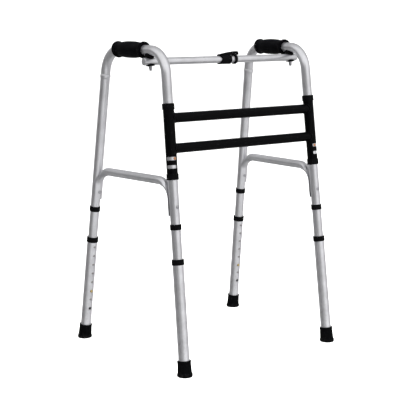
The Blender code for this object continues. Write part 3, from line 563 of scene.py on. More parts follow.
def blackPaint():
    look = {"tone": colour(0.0008, 0.0008, 0.0011), "rub": colour(0.005, 0.005, 0.0055)}
    finish = material("blackPaint", Metallic=0.0, IOR=1.5, Specular_IOR_Level=0.05)
    place = finish.place()
    peel = finish.noise(place, 620, 2.0)
    haze = finish.noise(place, 30, 4.0, 0.6)
    specks = finish.between(finish.noise(place, 1500, 1.0), 0.72, 0.78)
    scuffs = finish.between(finish.noise(finish.stretched(place, 1, 1, 3), 140, 3.0), 0.70, 0.78)
    tone = finish.mixed(scuffs * 0.5 + specks * 0.3, look["tone"], look["rub"])
    return finish.dressed(tone, 0.26 + 0.14 * haze + 0.15 * scuffs, peel + specks * 0.4, 0.25, 0.00012)


def blackPlastic():
    look = {"tone": colour(0.0012, 0.0012, 0.0016), "worn": colour(0.005, 0.005, 0.0055)}
    finish = material("blackPlastic", Metallic=0.0, IOR=1.46, Specular_IOR_Level=0.07)
    place = finish.place()
    spark = finish.noise(place, 1700, 3.0, 0.6)
    haze = finish.noise(place, 60, 4.0, 0.6)
    tone = finish.mixed(finish.between(haze, 0.55, 0.8) * 0.5, look["tone"], look["worn"])
    return finish.dressed(tone, 0.42 + 0.16 * haze + 0.06 * spark, spark, 0.3, 0.00012)


def gripRubber():
    look = {"tone": colour(0.0007, 0.0006, 0.0012), "shine": colour(0.0018, 0.0018, 0.0024)}
    finish = material("gripRubber", Metallic=0.0, IOR=1.48, Specular_IOR_Level=0.05)
    rod = finish.rod()
    cell = finish.node("TexVoronoi", {"feature": "F1"}, {"Vector": rod, "Scale": 900})
    worn = finish.between(finish.noise(rod, 45, 4.0, 0.6), 0.45, 0.75)
    tone = finish.mixed(worn, look["tone"], look["shine"])
    return finish.dressed(tone, 0.60 - 0.14 * worn, cell, 0.35, 0.00022)


def footRubber():
    look = {"tone": colour(0.0010, 0.0010, 0.0014), "dust": colour(0.010, 0.0095, 0.009)}
    finish = material("footRubber", Metallic=0.0, IOR=1.45, Specular_IOR_Level=0.05)
    place = finish.place()
    grain = finish.noise(place, 1300, 3.0, 0.6)
    cloud = finish.noise(place, 120, 4.0, 0.65)
    low = 1 - finish.between(finish.height(), 0.001, 0.016)
    dust = finish.between(cloud + low * 0.3, 0.55, 0.95) * 0.55
    tone = finish.mixed(dust, look["tone"], look["dust"])
    return finish.dressed(tone, 0.60 + 0.2 * dust + 0.08 * grain, grain + cloud * 0.6, 0.35, 0.0002)


def bareMetal(name, tone, dull, roughness):
    finish = material(name, Metallic=1.0)
    place = finish.place()
    cloud = finish.noise(place, 260, 4.0, 0.6)
    fine = finish.noise(place, 2600, 2.0)
    tone = finish.mixed(finish.between(cloud, 0.35, 0.75), colour(*tone), colour(*dull))
    return finish.dressed(tone, roughness + 0.16 * cloud + 0.05 * fine, fine + cloud * 0.5, 0.25, 0.0001)


# each finish and the slot it goes by
finishes = {
    "tube": (tubeAluminium("tubeAluminium", 0.35, 1.0), "aluminium"),
    "legTube": (tubeAluminium("legTubeAluminium", 1.0, 1.07), "aluminium"),
    "paint": (blackPaint(), "black_paint"),
    "plastic": (blackPlastic(), "black_plastic"),
    "grip": (gripRubber(), "grip_rubber"),
    "foot": (footRubber(), "rubber"),
    "brass": (bareMetal("brass", (0.78, 0.60, 0.26), (0.60, 0.44, 0.18), 0.22), "brass"),
    "copper": (bareMetal("copper", (0.72, 0.34, 0.18), (0.50, 0.23, 0.13), 0.26), "copper"),
    "zinc": (bareMetal("zincSteel", (0.52, 0.52, 0.54), (0.34, 0.34, 0.37), 0.30), "zinc_steel"),
    "spring": (bareMetal("springSteel", (0.42, 0.42, 0.45), (0.28, 0.28, 0.30), 0.24), "spring_steel"),
}
print("materials ready")


# Side frames


def railCorners():
    lean, height = legs["rear"]["lean"], stance["railHeight"]
    tip = legLine("rear", stance["joint"]) + np.array([math.sin(lean), -math.cos(lean)]) * stance["swage"]
    return [legLine("front", stance["tubeEnd"]), legLine("front", height), legLine("rear", height), tip]


rail = routeThrough(railCorners(), [stance["frontBend"], stance["rearBend"]])
railLength = rail[-1, 0] + rail[-1, 1]
lowerForm = {"play": 0.0003, "wall": 0.0013, "pitch": 0.0254, "holes": 8, "holesBelow": 2,
             "holeRadius": 0.0041, "above": 0.0247, "button": 0.1395, "footFloor": 0.0103}
lowerRadius = tubeRadius + lowerForm["play"] + lowerForm["wall"]
bell = {"length": 0.011, "lead": 0.0012, "lip": 0.0003, "rise": 0.0010}


def buttonHole(angle, at):
    return opening(angle, at, lowerForm["holeRadius"], lowerForm["holeRadius"], 0.002)


def sideTube(side, sign):
    # the rail swept along its route, drawn down where it goes into the rear leg
    shoulder, plug, soft = railLength - stance["swage"], tubeBore - gap, 0.0004
    edge = shoulder - gap
    outer = np.array([[0, tubeRadius], [edge - soft, tubeRadius], [edge, tubeRadius - soft],
                      [edge + soft / 2, plug], [railLength, plug]])
    inner = np.array([[0, tubeBore], [shoulder - 2 * tubeWall, tubeBore],
                      [shoulder - tubeWall, plug - tubeWall], [railLength, plug - tubeWall]])
    stations = np.concatenate([routeStations(rail, 0, railLength), outer[:, 0], inner[:, 0]])
    hole = buttonHole(math.pi / 2, legLength("front", lowerForm["button"] - stance["tubeEnd"]))
    shape = piercedTube(stations, outer, inner, [hole], 0.0, ringPlace(sidePlane(sign), rail))
    addPiece(f"side_tube_{side}", shape, "tube")


def rearLegTube(side, sign):
    # straight tube with a belled mouth: radius + lip + rise sin(pi share)
    low, high = legLength("rear", stance["tubeEnd"]), legLength("rear", stance["joint"])
    lip, flare, share = bell["lip"], high - bell["length"], np.linspace(0, 1, 13)
    swell = gathered(flare + share * (high - lip - flare),
                     tubeRadius + lip + bell["rise"] * np.sin(np.pi * share))
    start = [[low, tubeRadius - lip], [low + lip, tubeRadius], [flare - bell["lead"], tubeRadius]]
    outer = np.concatenate([start, swell, [[high, tubeRadius + 0.0001]]])
    stations = np.concatenate([np.arange(low, high, 0.02), outer[:, 0]])
    hole = buttonHole(-math.pi / 2, legLength("rear", lowerForm["button"]))
    addTube(f"rear_leg_tube_{side}", "tube", stations, outer, tubeBore, [hole], 0.0, legAxis("rear", sign))


crossBrace = {"radius": 0.011, "wall": 0.0012, "height": 0.4845, "fall": 0.0038, "drop": 0.0845,
              "frontBend": 0.046, "rearBend": 0.045, "flat": 0.0037, "flatWall": 0.0014,
              "wrap": math.radians(59), "boreWrap": math.radians(52), "flattening": math.radians(68),
              "rivetRise": 0.0233}
braceLow = crossBrace["height"] - crossBrace["drop"]
rivetHeight = braceLow + crossBrace["rivetRise"]


def braceSurface(route, distances, inset, flatInset, wrap, around):
    # a circle of the brace that flattens into a crescent round the leg:
    # p = (1 - f) circle(angle) + f crescent(angle), with f = 1 along the legs and 0 on the bar
    angle, across = fullTurn(around)[None, :], np.array([1.0, 0, 0])
    point, heading = alongRoute(route, distances)
    normal = gathered(0.0, -heading[:, 1], heading[:, 0])[:, None, :]
    centre = gathered(0.0, point[:, 0], point[:, 1])[:, None, :]
    middle, half = seatRadius + crossBrace["flat"] / 2, crossBrace["flat"] / 2 - flatInset
    frontAngle = (distances - route[1, 0]) / crossBrace["frontBend"]
    rearAngle = (route[3, 0] + route[3, 1] - distances) / crossBrace["rearBend"]
    share = np.clip(np.minimum(frontAngle, rearAngle) / crossBrace["flattening"], 0, 1)
    flat = (1 - share * share * (3 - 2 * share))[:, None, None]
    hug = wrap * np.arcsin(np.sin(angle)) / (math.pi / 2)
    radius = middle - half * np.clip(np.cos(angle) * 3.5, -1, 1)
    size = crossBrace["radius"] - inset

    def ring(origin, out, turned):
        aside = (abs(out) * np.sin(turned))[..., None]
        return origin + normal * (out * np.cos(turned))[..., None] + across * aside

    points = ring(centre, size, angle) * (1 - flat) + ring(centre + normal * middle, -radius, hug) * flat
    return points.reshape(-1, 3), ringPoints(size, angle, distances[:, None])


def sideBrace(side, sign):
    offset, high, around = seatRadius + crossBrace["flat"] / 2, crossBrace["height"], 64
    corners = [legLine("front", braceLow, offset), legLine("front", high, offset),
               legLine("rear", high - crossBrace["fall"], offset), legLine("rear", braceLow, offset)]
    route = routeThrough(corners, [crossBrace["frontBend"], crossBrace["rearBend"]])
    distances = routeStations(route, 0, route[-1, 0] + route[-1, 1], 0.01, math.radians(3))
    outside, outRod = braceSurface(route, distances, 0, 0, crossBrace["wrap"], around)
    inside, inRod = braceSurface(route, distances[::-1], crossBrace["wall"], crossBrace["flatWall"],
                                 crossBrace["boreWrap"], around)
    points = carried(sidePlane(sign), np.concatenate([outside, inside]))
    shape = outward(points, gridQuads(2 * len(distances), around, True), np.concatenate([outRod, inRod]))
    addPiece(f"side_brace_{side}", shape, "tube")


def sideRivets(side, sign):
    # a domed head at each end of a plain shank
    thick, head, shank = 0.0016, 0.0046, 0.0024
    low, high = -tubeRadius - gap, tubeRadius + 2 * gap + crossBrace["flat"]
    corners = stepped((head, low - thick, low, 0.0015, 0.0003), (shank, low, high, 0, 0),
                      (head, high, high + thick, 0.0003, 0.0015))
    for where, leg in legs.items():
        seat = legAxis(where, sign) @ shift(0, 0, legLength(where, rivetHeight)) @ leg["facing"]
        addTurned(f"side_rivet_{where}_{side}", "zinc", seat, corners, around=32)


gripForm = {"behindSaddle": 0.0190, "length": 0.115, "flange": 0.0088, "waist": 0.0058, "belly": 0.0086,
            "flangeLength": 0.006, "waistLength": 0.010, "step": 0.0015}


def grip(side, sign):
    # moulded sleeve with a rolled flange at each end, a waist behind it and a belly between
    g, around = gripForm, 96
    onRail = legLine("front", stance["railHeight"], brace["setback"])[0] + g["behindSaddle"]
    bendEnd = rail[2, 0]
    start = bendEnd + onRail - alongRoute(rail, np.array([bendEnd]))[0][0, 0]
    flange, waist, belly = [tubeRadius + g[key] for key in ("flange", "waist", "belly")]
    end, step = start + g["length"], g["flangeLength"] + g["step"]
    reach = g["flangeLength"] + g["waistLength"]
    corners = [
        (flange, start, 0.0024), (flange, start + g["flangeLength"], 0.0022), (waist, start + step, 0.0012),
        (waist, start + reach, 0.004), (belly, start + 0.35 * g["length"], 0.02),
        (belly, start + 0.65 * g["length"], 0.02), (waist, end - reach, 0.004), (waist, end - step, 0.0012),
        (flange, end - g["flangeLength"], 0.0022), (flange, end, 0.0024), (seatRadius, end, 0.0004),
        (seatRadius, start, 0.0004),
    ]
    profile = softCorners(corners, True, 7)
    theta = np.tile(fullTurn(around), len(profile))
    radius, distance = np.repeat(profile, around, axis=0).T
    points = ringPlace(sidePlane(sign), rail)(theta, distance, radius)
    quads = gridQuads(len(profile), around, True)
    addPiece(f"grip_{side}", surface(points, quads, ringPoints(radius, theta, distance)), "grip")


def stopCollars(side, sign):
    outer, half, height = seatRadius + 0.0015, 0.007, braceLow - 0.0265
    for where in legs:
        middle = legLength(where, height)
        corners = [(outer, middle - half, 0.0006), (outer, middle + half, 0.0006),
                   (seatRadius, middle + half, 0.0003), (seatRadius, middle - half, 0.0003)]
        addTurned(f"stop_collar_{where}_{side}", "plastic", legAxis(where, sign), corners, True)


# Lower legs


def legTube(tail, axis, button, way):
    # outer tube with its row of holes
    low, form = lowerForm["footFloor"], lowerForm
    holes = button + (np.arange(form["holes"]) - form["holesBelow"]) * form["pitch"]
    top, angle = holes[-1] + form["above"], math.pi / 2 * way
    openings = [opening(angle, float(at), form["holeRadius"], form["holeRadius"]) for at in holes]
    outer = endSoft(low, top, lowerRadius, 0.0003)
    stations = np.concatenate([np.arange(low, top, 0.02), outer[:, 0]])
    bore = lowerRadius - form["wall"]
    addTube(f"leg_tube_{tail}", "legTube", stations, outer, bore, openings, -angle, axis)
    return top


def legCollar(tail, axis, top):
    seat, high = lowerRadius + gap, top + gap + 0.003
    low, outer = high - 0.014, seat + 0.0013
    corners = [(outer, low, 0.0005), (outer, high, 0.001), (seatRadius, high, 0.0005),
               (seatRadius, top + gap), (seat, top + gap), (seat, low, 0.0003)]
    addTurned(f"leg_collar_{tail}", "plastic", axis, corners, True)


footForm = {"radius": 0.0200, "topRadius": 0.01675, "height": 0.040, "rim": 0.0055, "floor": 0.010,
            "treads": (0.0045, 0.0085, 0.0125, 0.0163), "treadDepth": 0.0009}


def foot(tail, axis):
    # rubber foot whose rings lie along the floor at the bottom and square to the leg at the top:
    # z = h + (1 - s(h)) * floor(x, y), with s rising smoothly from 0 to 1
    f, seat, deep = footForm, lowerRadius + gap, footForm["treadDepth"]
    radius, top, high = f["radius"], f["topRadius"], f["height"]
    treads = [(middle + aside, depth, 0.0002) for middle in f["treads"]
              for aside, depth in ((-0.0011, 0), (-0.0008, deep), (0.0008, deep), (0.0011, 0))]
    corners = [(0, 0), *treads, (radius - 0.0012, 0, 0.0012), (radius, f["rim"] * 0.55, 0.0014),
               (radius - 0.0004, f["rim"] * 1.25, 0.0008), (radius - 0.0016, f["rim"] * 1.5, 0.001),
               (top + 0.0004, high - 0.0065, 0.0006), (top + 0.0009, high - 0.0052, 0.0006),
               (top + 0.0009, high, 0.0012), (seat, high, 0.0004), (seat, f["floor"]), (0, f["floor"])]
    shape, down = lathe(corners, around=80), axis[2, :3]
    x, y, z = shape["points"].T
    share = np.clip(z / f["floor"], 0, 1)
    share = share * share * (3 - 2 * share)
    points = carried(axis, gathered(x, y, z - (1 - share) * (x * down[0] + y * down[1]) / down[2]))
    points[:, 2] = np.maximum(points[:, 2], 0)
    addPiece(f"foot_{tail}", {**shape, "points": points}, "foot")


snapForm = {"proud": 0.002, "stem": 0.0036, "flange": 0.005, "thick": 0.001, "behind": 0.0017,
            "stripWidth": 0.007, "stripThick": 0.0007, "below": 0.009, "above": 0.045}


def snapButton(tail, seat):
    s, top = snapForm, tubeBore - snapForm["behind"]
    corners = stepped((s["flange"], top - s["thick"], top, 0.0002, 0.0002),
                      (s["stem"], top, lowerRadius + s["proud"], 0.0003, 0.0016))
    addTurned(f"snap_button_{tail}", "brass", seat, corners, around=40)


def snapSpring(tail, axis, button, way):
    # flat strip bent to a V: the strip's two faces follow the same rounded line, one thickness apart
    s, thick, half = snapForm, snapForm["stripThick"], snapForm["stripWidth"] / 2
    near = tubeBore - s["behind"] - s["thick"] - gap
    far = -math.sqrt(tubeBore**2 - half**2) + 2 * gap
    low, bend, high = button - s["below"], button + s["below"], button + s["above"]
    outside = softCorners([(near, low), (near, bend, 0.004), (0, high, 0.0016), (far, low)], False, 7)
    inside = softCorners([(near - thick, low), (near - thick, bend - thick / 3, 0.004),
                          (0, high - 4 * thick, 0.0012), (far + thick, low)], False, 7)
    rings = [gathered(x * half, way * line[:, 0], line[:, 1])
             for x, line in ((-1, outside), (1, outside), (1, inside), (-1, inside))]
    count, points = 4 * len(outside), np.stack(rings, axis=1).reshape(-1, 3)
    ends = np.array([[3, 2, 1, 0], [count - 4, count - 3, count - 2, count - 1]])
    shape = outward(points, np.concatenate([gridQuads(len(outside), 4), ends]))
    addPiece(f"snap_spring_{tail}", placed(shape, axis), "spring")


def lowerLeg(where, side, sign):
    leg, axis, tail = legs[where], legAxis(where, sign), f"{where}_{side}"
    button = legLength(where, lowerForm["button"])
    legCollar(tail, axis, legTube(tail, axis, button, leg["way"]))
    foot(tail, axis)
    snapButton(tail, axis @ shift(0, 0, button) @ leg["facing"])
    snapSpring(tail, axis, button, leg["way"])


# Front frame


sleeveForm = {"play": 0.0004, "wall": 0.0009, "above": 0.0105, "length": 0.180, "slotRises": (0.0281, 0.0485),
              "slotHeight": 0.0084, "slotInward": math.radians(24), "slotOutward": math.radians(104),
              "slotPower": 0.35}
sleeveBore = tubeRadius + sleeveForm["play"]
sleeveRadius = sleeveBore + sleeveForm["wall"]
sleeveLow = legLength("front", crossBrace["height"]) + sleeveForm["above"]
sleeveHigh = sleeveLow + sleeveForm["length"]
crossbarForm = {"radius": 0.0125, "wall": 0.0015, "rises": {"lower": 0.0728, "upper": 0.1484}, "bead": 0.0021}
bushForm = {"wall": 0.0012, "over": 0.0105, "lip": 0.0046}
pinForm = {"head": 0.0042, "thick": 0.0018, "stem": 0.0034, "proud": 0.0004}


def sleeve(side, sign):
    form, low, high = sleeveForm, sleeveLow, sleeveHigh
    spread = (form["slotOutward"] + form["slotInward"]) / 2 * sleeveRadius
    angle = -math.pi / 2 + sign * (form["slotOutward"] - form["slotInward"]) / 2
    openings = [opening(angle, low + rise, spread, form["slotHeight"] / 2, power=form["slotPower"])
                for rise in form["slotRises"]]
    stations = np.concatenate([np.arange(low, high, 0.01), [high]])
    outer = endSoft(low, high, sleeveRadius, 0.0002)
    addTube(f"sleeve_{side}", "paint", stations, outer, sleeveBore, openings, angle + math.pi,
            legAxis("front", sign))


def bushes(side, sign):
    seat = sleeveRadius + gap
    outer = seat + bushForm["wall"]
    for level, edge, up in (("upper", sleeveHigh, 1), ("lower", sleeveLow, -1)):
        over, tip, rest = edge - up * bushForm["over"], edge + up * bushForm["lip"], edge + up * gap
        shape = lathe([(outer, over, 0.0004), (outer, tip, 0.0011), (seatRadius, tip, 0.0004),
                       (seatRadius, rest), (seat, rest), (seat, over, 0.0003)], True)
        shape = outward(shape["points"], shape["quads"])
        addPiece(f"bush_{level}_{side}", placed(shape, legAxis("front", sign)), "plastic")


def saddleEnd(sign, y, z, radius):
    # x where a line along x meets the sleeve: |p - (p . a) a| = radius, solved for x
    origin, axis = legAxis("front", sign)[:3, 3], legAxis("front", sign)[:3, 2]
    along = np.array([1.0, 0, 0]) - axis[0] * axis
    apart = gathered(-origin[0], y - origin[1], z - origin[2])
    apart = apart - (apart @ axis)[:, None] * axis
    a, b, c = along @ along, apart @ along, (apart * apart).sum(1) - radius**2
    return (-b - sign * np.sqrt(np.maximum(b * b - a * c, 0))) / a


def crossbar(level):
    # a tube along x whose ends follow the sleeves
    form, around, count = crossbarForm, 80, 60
    height = (sleeveLow + form["rises"][level]) * math.cos(legs["front"]["lean"])
    centre, theta = onSide(-1, legLine("front", height)), fullTurn(around)
    share = (1 - np.cos(np.linspace(0, np.pi, count)))[:, None] / 2
    rings, rods = [], []
    for radius, spots in ((form["radius"], share), (form["radius"] - form["wall"], share[::-1])):
        y, z = centre[1] - radius * np.sin(theta), centre[2] + radius * np.cos(theta)
        start, end = [saddleEnd(sign, y, z, sleeveRadius + gap) for sign in (-1, 1)]
        x = start + (end - start) * spots
        rings.append(gathered(x, y, z).reshape(-1, 3))
        rods.append(ringPoints(radius, theta, x))
    shape = surface(np.concatenate(rings), gridQuads(2 * count, around, True), np.concatenate(rods))
    addPiece(f"crossbar_{level}", shape, "paint")
    for side, sign in sides.items():
        weldBead(f"weld_{level}_{side}", centre, sign)


def weldBead(name, centre, sign):
    # a rippled round bead along the line where the crossbar meets the sleeve:
    # p = seam(a) + r (out cos b + on sin b), with r = bead (1 + ripple cos(n a)), flat towards the sleeve
    around, across, radius = 180, 16, crossbarForm["radius"]
    a, b = fullTurn(around), fullTurn(across)
    y, z = centre[1] - radius * np.sin(a), centre[2] + radius * np.cos(a)
    seam = gathered(saddleEnd(sign, y, z, sleeveRadius), y, z)
    origin, axis = legAxis("front", sign)[:3, 3], legAxis("front", sign)[:3, 2]
    away = seam - origin - ((seam - origin) @ axis)[:, None] * axis
    away /= np.linalg.norm(away, axis=1, keepdims=True)
    tangent = np.roll(seam, -1, axis=0) - np.roll(seam, 1, axis=0)
    onward = np.cross(tangent / np.linalg.norm(tangent, axis=1, keepdims=True), away)
    bead = crossbarForm["bead"] * (1 + 0.10 * np.cos(26 * a) + 0.06 * np.cos(5 * a + 1))[:, None]
    out, on = np.maximum(bead * np.cos(b), -0.0006)[..., None], (bead * np.sin(b))[..., None]
    points = seam[:, None, :] + away[:, None, :] * out + onward[:, None, :] * on
    shape = outward(points.reshape(-1, 3), gridQuads(around, across, True))
    addPiece(name, shape, "paint", body="front_frame")


def stopPin(side, sign):
    shoulder = math.sqrt(tubeBore**2 - pinForm["head"]**2) - 2 * gap
    corners = stepped((pinForm["head"], shoulder - pinForm["thick"], shoulder, 0.0004, 0),
                      (pinForm["stem"], shoulder, sleeveRadius + pinForm["proud"], 0, 0.0009))
    seat = legAxis("front", sign) @ shift(0, 0, sleeveLow + sleeveForm["slotRises"][1]) @ toFront
    addTurned(f"stop_pin_{side}", "copper", seat, corners, around=40)


# Folding brace


saddleForm = {"split": 0.0019, "openGap": 0.0009, "railRise": 0.0075, "railRadius": 0.0117,
              "upperRadius": 0.0117, "tipRadius": 0.0107, "tip": 0.0080, "lowerRadius": 0.0115,
              "lowerTop": 0.0080, "web": 0.0015, "rings": 14}
splitHeight = barRadius + saddleForm["split"]


def saddle(node, sign, profile, centreZ, radius, way, above):
    # a turned block, with fine rings on both ends, that stays on one side of a round bar along way
    # through (0, 0, centreZ): z stays over or under centreZ +- sqrt(radius^2 - d^2)
    shares = np.arange(1, saddleForm["rings"]) / saddleForm["rings"]
    (first, low, _), (last, high, _) = profile[0], profile[-1]
    bottom = [(0, low), *[(first * share, low) for share in shares]]
    top = [*[(last * share, high) for share in shares[::-1]], (0, high)]
    shape = lathe(bottom + profile + top, around=96)
    x, y, z = shape["points"].T
    aside = x * way[1] - y * way[0]
    drop = np.sqrt(np.maximum(radius**2 - aside**2, 0))
    limit = np.maximum(z, centreZ + drop) if above else np.minimum(z, centreZ - drop)
    shape["points"] = gathered(x, y, np.where(np.abs(aside) < radius, limit, z))
    addPiece(node, placed(shape, boltAxis(sign)), "plastic")


def saddles(side, sign):
    form, cup, toRight = saddleForm, barRadius + gap, (1.0, 0.0)
    low, high = splitHeight + (gap if side == "left" else form["openGap"]), railAboveBar - form["railRise"]
    heading = (np.linalg.inv(boltAxis(sign)[:3, :3]) @ sidePlane(sign)[:3, 1])[:2]
    heading /= np.linalg.norm(heading)
    profile = [(form["railRadius"], low, 0.0009), (form["railRadius"], high, 0.0009)]
    saddle(f"rail_saddle_{side}", sign, profile, railAboveBar, seatRadius, heading, False)
    profile = [(form["tipRadius"], form["tip"], 0.0006), (form["upperRadius"], splitHeight, 0.0008)]
    saddle(f"upper_bar_saddle_{side}", sign, profile, 0, cup, toRight, True)
    profile = [(form["lowerRadius"] - 0.0006, -cup - form["web"], 0.0016),
               (form["lowerRadius"], -form["lowerTop"], 0.0006)]
    saddle(f"lower_bar_saddle_{side}", sign, profile, 0, cup, toRight, False)


boltForm = {"cap": 0.0115, "shank": 0.003, "head": 0.006, "headThick": 0.002}


def braceBolt(side, sign):
    # cap nut with a tapered, domed end
    shank, head, neck = boltForm["shank"], boltForm["head"], -barRadius - 2 * gap - saddleForm["web"]
    tip = neck - boltForm["cap"]
    corners = [(0, tip), (0.0034, tip, 0.0009), (0.0039, tip + 0.005, 0.002), (0.0049, neck, 0.0005),
               (shank, neck)]
    if side == "left":
        seat = railAboveBar - math.sqrt(tubeBore**2 - head**2) + 2 * gap
        top = seat + boltForm["headThick"]
        corners += [(shank, seat), (head, seat, 0.0003), (head, top, 0.0008), (0, top)]
    else:
        corners += [(shank, splitHeight), (0, splitHeight)]
    addTurned(f"brace_bolt_{side}", "zinc", boltAxis(sign), corners, around=48)


hinge = {"housingRadius": 0.0125, "start": -0.0435, "end": -0.004, "socketEnd": -0.018, "mouth": 0.0075,
         "rightStart": -0.0037, "pinRadius": 0.0025, "pinHead": 0.0034, "pinThick": 0.0012,
         "tongueRadius": 0.006, "tongueHalf": 0.004, "reliefStart": -0.0145, "reliefY": 0.0045,
         "ringStart": 0.0075, "ringEnd": 0.0155, "ringRadius": 0.0130, "soft": 0.0004}
lever = {"half": 0.0082, "pivotRadius": 0.0014, "pivotX": -0.038, "pivotZ": 0.0120, "top": 0.0204,
         "thick": 0.0014, "crest": 0.002, "overhang": 0.006, "cheek": 0.0024, "nose": 0.0032, "edge": 0.0005}
swingRadius = math.hypot(hinge["rightStart"], barRadius) + gap
leverStart, leverTip = lever["pivotX"] + lever["pivotRadius"], hinge["ringEnd"] + lever["overhang"]
leverUnder = hinge["housingRadius"] + gap
leverLow = leverUnder - lever["cheek"]


def barShape(outer, inner):
    # half bar turned about its axis, closed and rounded at its outer end
    bore, fillet = barRadius - brace["barWall"], 0.0004
    floor = outer + math.copysign(brace["endWall"], inner - outer)
    shape = lathe([(0, outer), (barRadius, outer, 0.0012), (barRadius, inner, fillet),
                   (bore, inner, fillet / 2), (bore, floor, fillet), (0, floor)])
    return placed(outward(shape["points"], shape["quads"]), hingeAxis @ toX)


def boxShape(low, high):
    # unit cube stretched between two corners
    unit = np.array([[x, y, z] for z in (0, 1) for x, y in ((0, 0), (1, 0), (1, 1), (0, 1))], float)
    quads = np.array([[3, 2, 1, 0], [4, 5, 6, 7], [0, 1, 5, 4], [1, 2, 6, 5], [2, 3, 7, 6], [3, 0, 4, 7]])
    return placed(surface(np.array(low) + unit * (np.array(high) - np.array(low)), quads), hingeAxis)


def slabShape(outline, low, high):
    # a flat slab of the outline between two heights
    centre = outline.mean(0)
    x, y = (outline - centre).T
    rings = [gathered(centre[0] + x * scale, centre[1] + y * scale, z)
             for scale, z in ((0, low), (1, low), (1, high), (0, high))]
    return placed(outward(np.concatenate(rings), gridQuads(4, len(outline))), hingeAxis)


def rodShape(half, radius, matrix, around=64):
    return placed(lathe([(0, -half), (radius, -half), (radius, half), (0, half)], around=around), matrix)


def braceTubes():
    leftEnd = leftBolt[0] - brace["hingeX"] - brace["overhang"]
    rightEnd = boltPlace(1)[0] - brace["hingeX"] + brace["overhang"]
    addPiece("brace_tube_left", barShape(leftEnd, hinge["socketEnd"] - gap), "tube")
    right = addPiece("brace_tube_right", barShape(rightEnd, hinge["rightStart"]), "tube")
    half = hinge["tongueHalf"] + gap
    corner = hinge["tongueRadius"] + 2 * gap, 2 * barRadius, half
    carve(right, [boxShape((hinge["rightStart"] - barRadius, 0, -half), corner)])


def hingeHousing():
    # round housing with a fish-mouth left end, hollowed for the bar and for the swing of the right half
    h, around, steps, seat = hinge, 96, 60, barRadius + gap
    theta = fullTurn(around)

    def ring(x, radius):
        return gathered(x, radius * np.sin(theta), radius * np.cos(theta))

    mouth = h["start"] + h["mouth"] * ((np.sin(theta) ** 2) ** 0.8)[None, :]
    x = mouth + (h["end"] - mouth) * np.linspace(0, 1, steps)[:, None]
    radius = np.full((steps, 1), h["housingRadius"])
    radius[[0, -1]] -= h["soft"]
    rings = [ring(h["socketEnd"], 0.0)[None], ring(h["socketEnd"], seat)[None], ring(mouth, seat),
             ring(x, radius), ring(h["end"], 0.0)[None]]
    points = np.concatenate(rings).reshape(-1, 3)
    shape = placed(outward(points, gridQuads(steps + 4, around)), hingeAxis)
    made = addPiece("hinge_housing", shape, "plastic")
    swing = rodShape(barRadius + 2 * gap, swingRadius, hingeAxis, 96)
    relief = boxShape((h["reliefStart"], h["reliefY"], -0.03), (barRadius, 0.03, 0.03))
    pivot = hingeAxis @ shift(lever["pivotX"], 0, lever["pivotZ"]) @ toFront
    carve(made, [swing, relief, rodShape(lever["half"] + gap, lever["pivotRadius"] + gap, pivot)])


def hingeTongue():
    # flat tongue of the housing, rounded about the pin
    radius, half = hinge["tongueRadius"], hinge["tongueHalf"]
    theta, back = np.linspace(-np.pi / 2, np.pi / 2, 64), -swingRadius - radius / 2
    nose = radius * gathered(np.cos(theta), np.sin(theta))
    outline = np.concatenate([nose, [[back, radius], [back, -radius]]])
    addPiece("hinge_tongue", slabShape(outline, -half, half), "plastic", body="bar_left")


def hingeRing():
    outer, bore, low, high = hinge["ringRadius"], barRadius + gap, hinge["ringStart"], hinge["ringEnd"]
    corners = [(outer, low, 0.0015), (outer, high, 0.0015), (bore, high, 0.0004), (bore, low, 0.0004)]
    addTurned("hinge_ring", "plastic", hingeAxis @ toX, corners, True, 96)


def hingePin():
    seat, head, shank = barRadius + gap, hinge["pinHead"], hinge["pinRadius"]
    top = seat + hinge["pinThick"]
    corners = stepped((head, -top, -seat, 0.0008, 0), (shank, -seat, seat, 0, 0),
                      (head, seat, top, 0, 0.0008))
    addTurned("hinge_pin", "zinc", hingeAxis, corners, around=40)


def leverLine():
    # side view of the lever: a round left end, an arm with deep cheeks and a head that stands over the ring
    top, nose, thick, cheek = lever["top"], lever["nose"], lever["thick"], leverStart + lever["cheek"]
    start, tip, under = leverStart, leverTip, leverUnder + gap
    bend = np.radians(60 + 40 * np.arange(8))
    pivot = np.array([lever["pivotX"], lever["pivotZ"]])
    end = pivot + lever["pivotRadius"] * gathered(np.cos(bend), np.sin(bend))
    below = [(start, under, 0.0001), (cheek, under, 0.0004), (cheek, leverLow, 0.0005),
             (tip, leverLow, 0.0009)]
    head = [(tip, top - nose, 0.0018), (tip - nose, top, 0.0026), (lever["crest"], top, 0.008)]
    arm = [(start + 0.004, under + thick * 1.3, 0.006), (start, under + thick, 0.0004)]
    return softCorners([*end, *below, *head, *arm], True, 8)


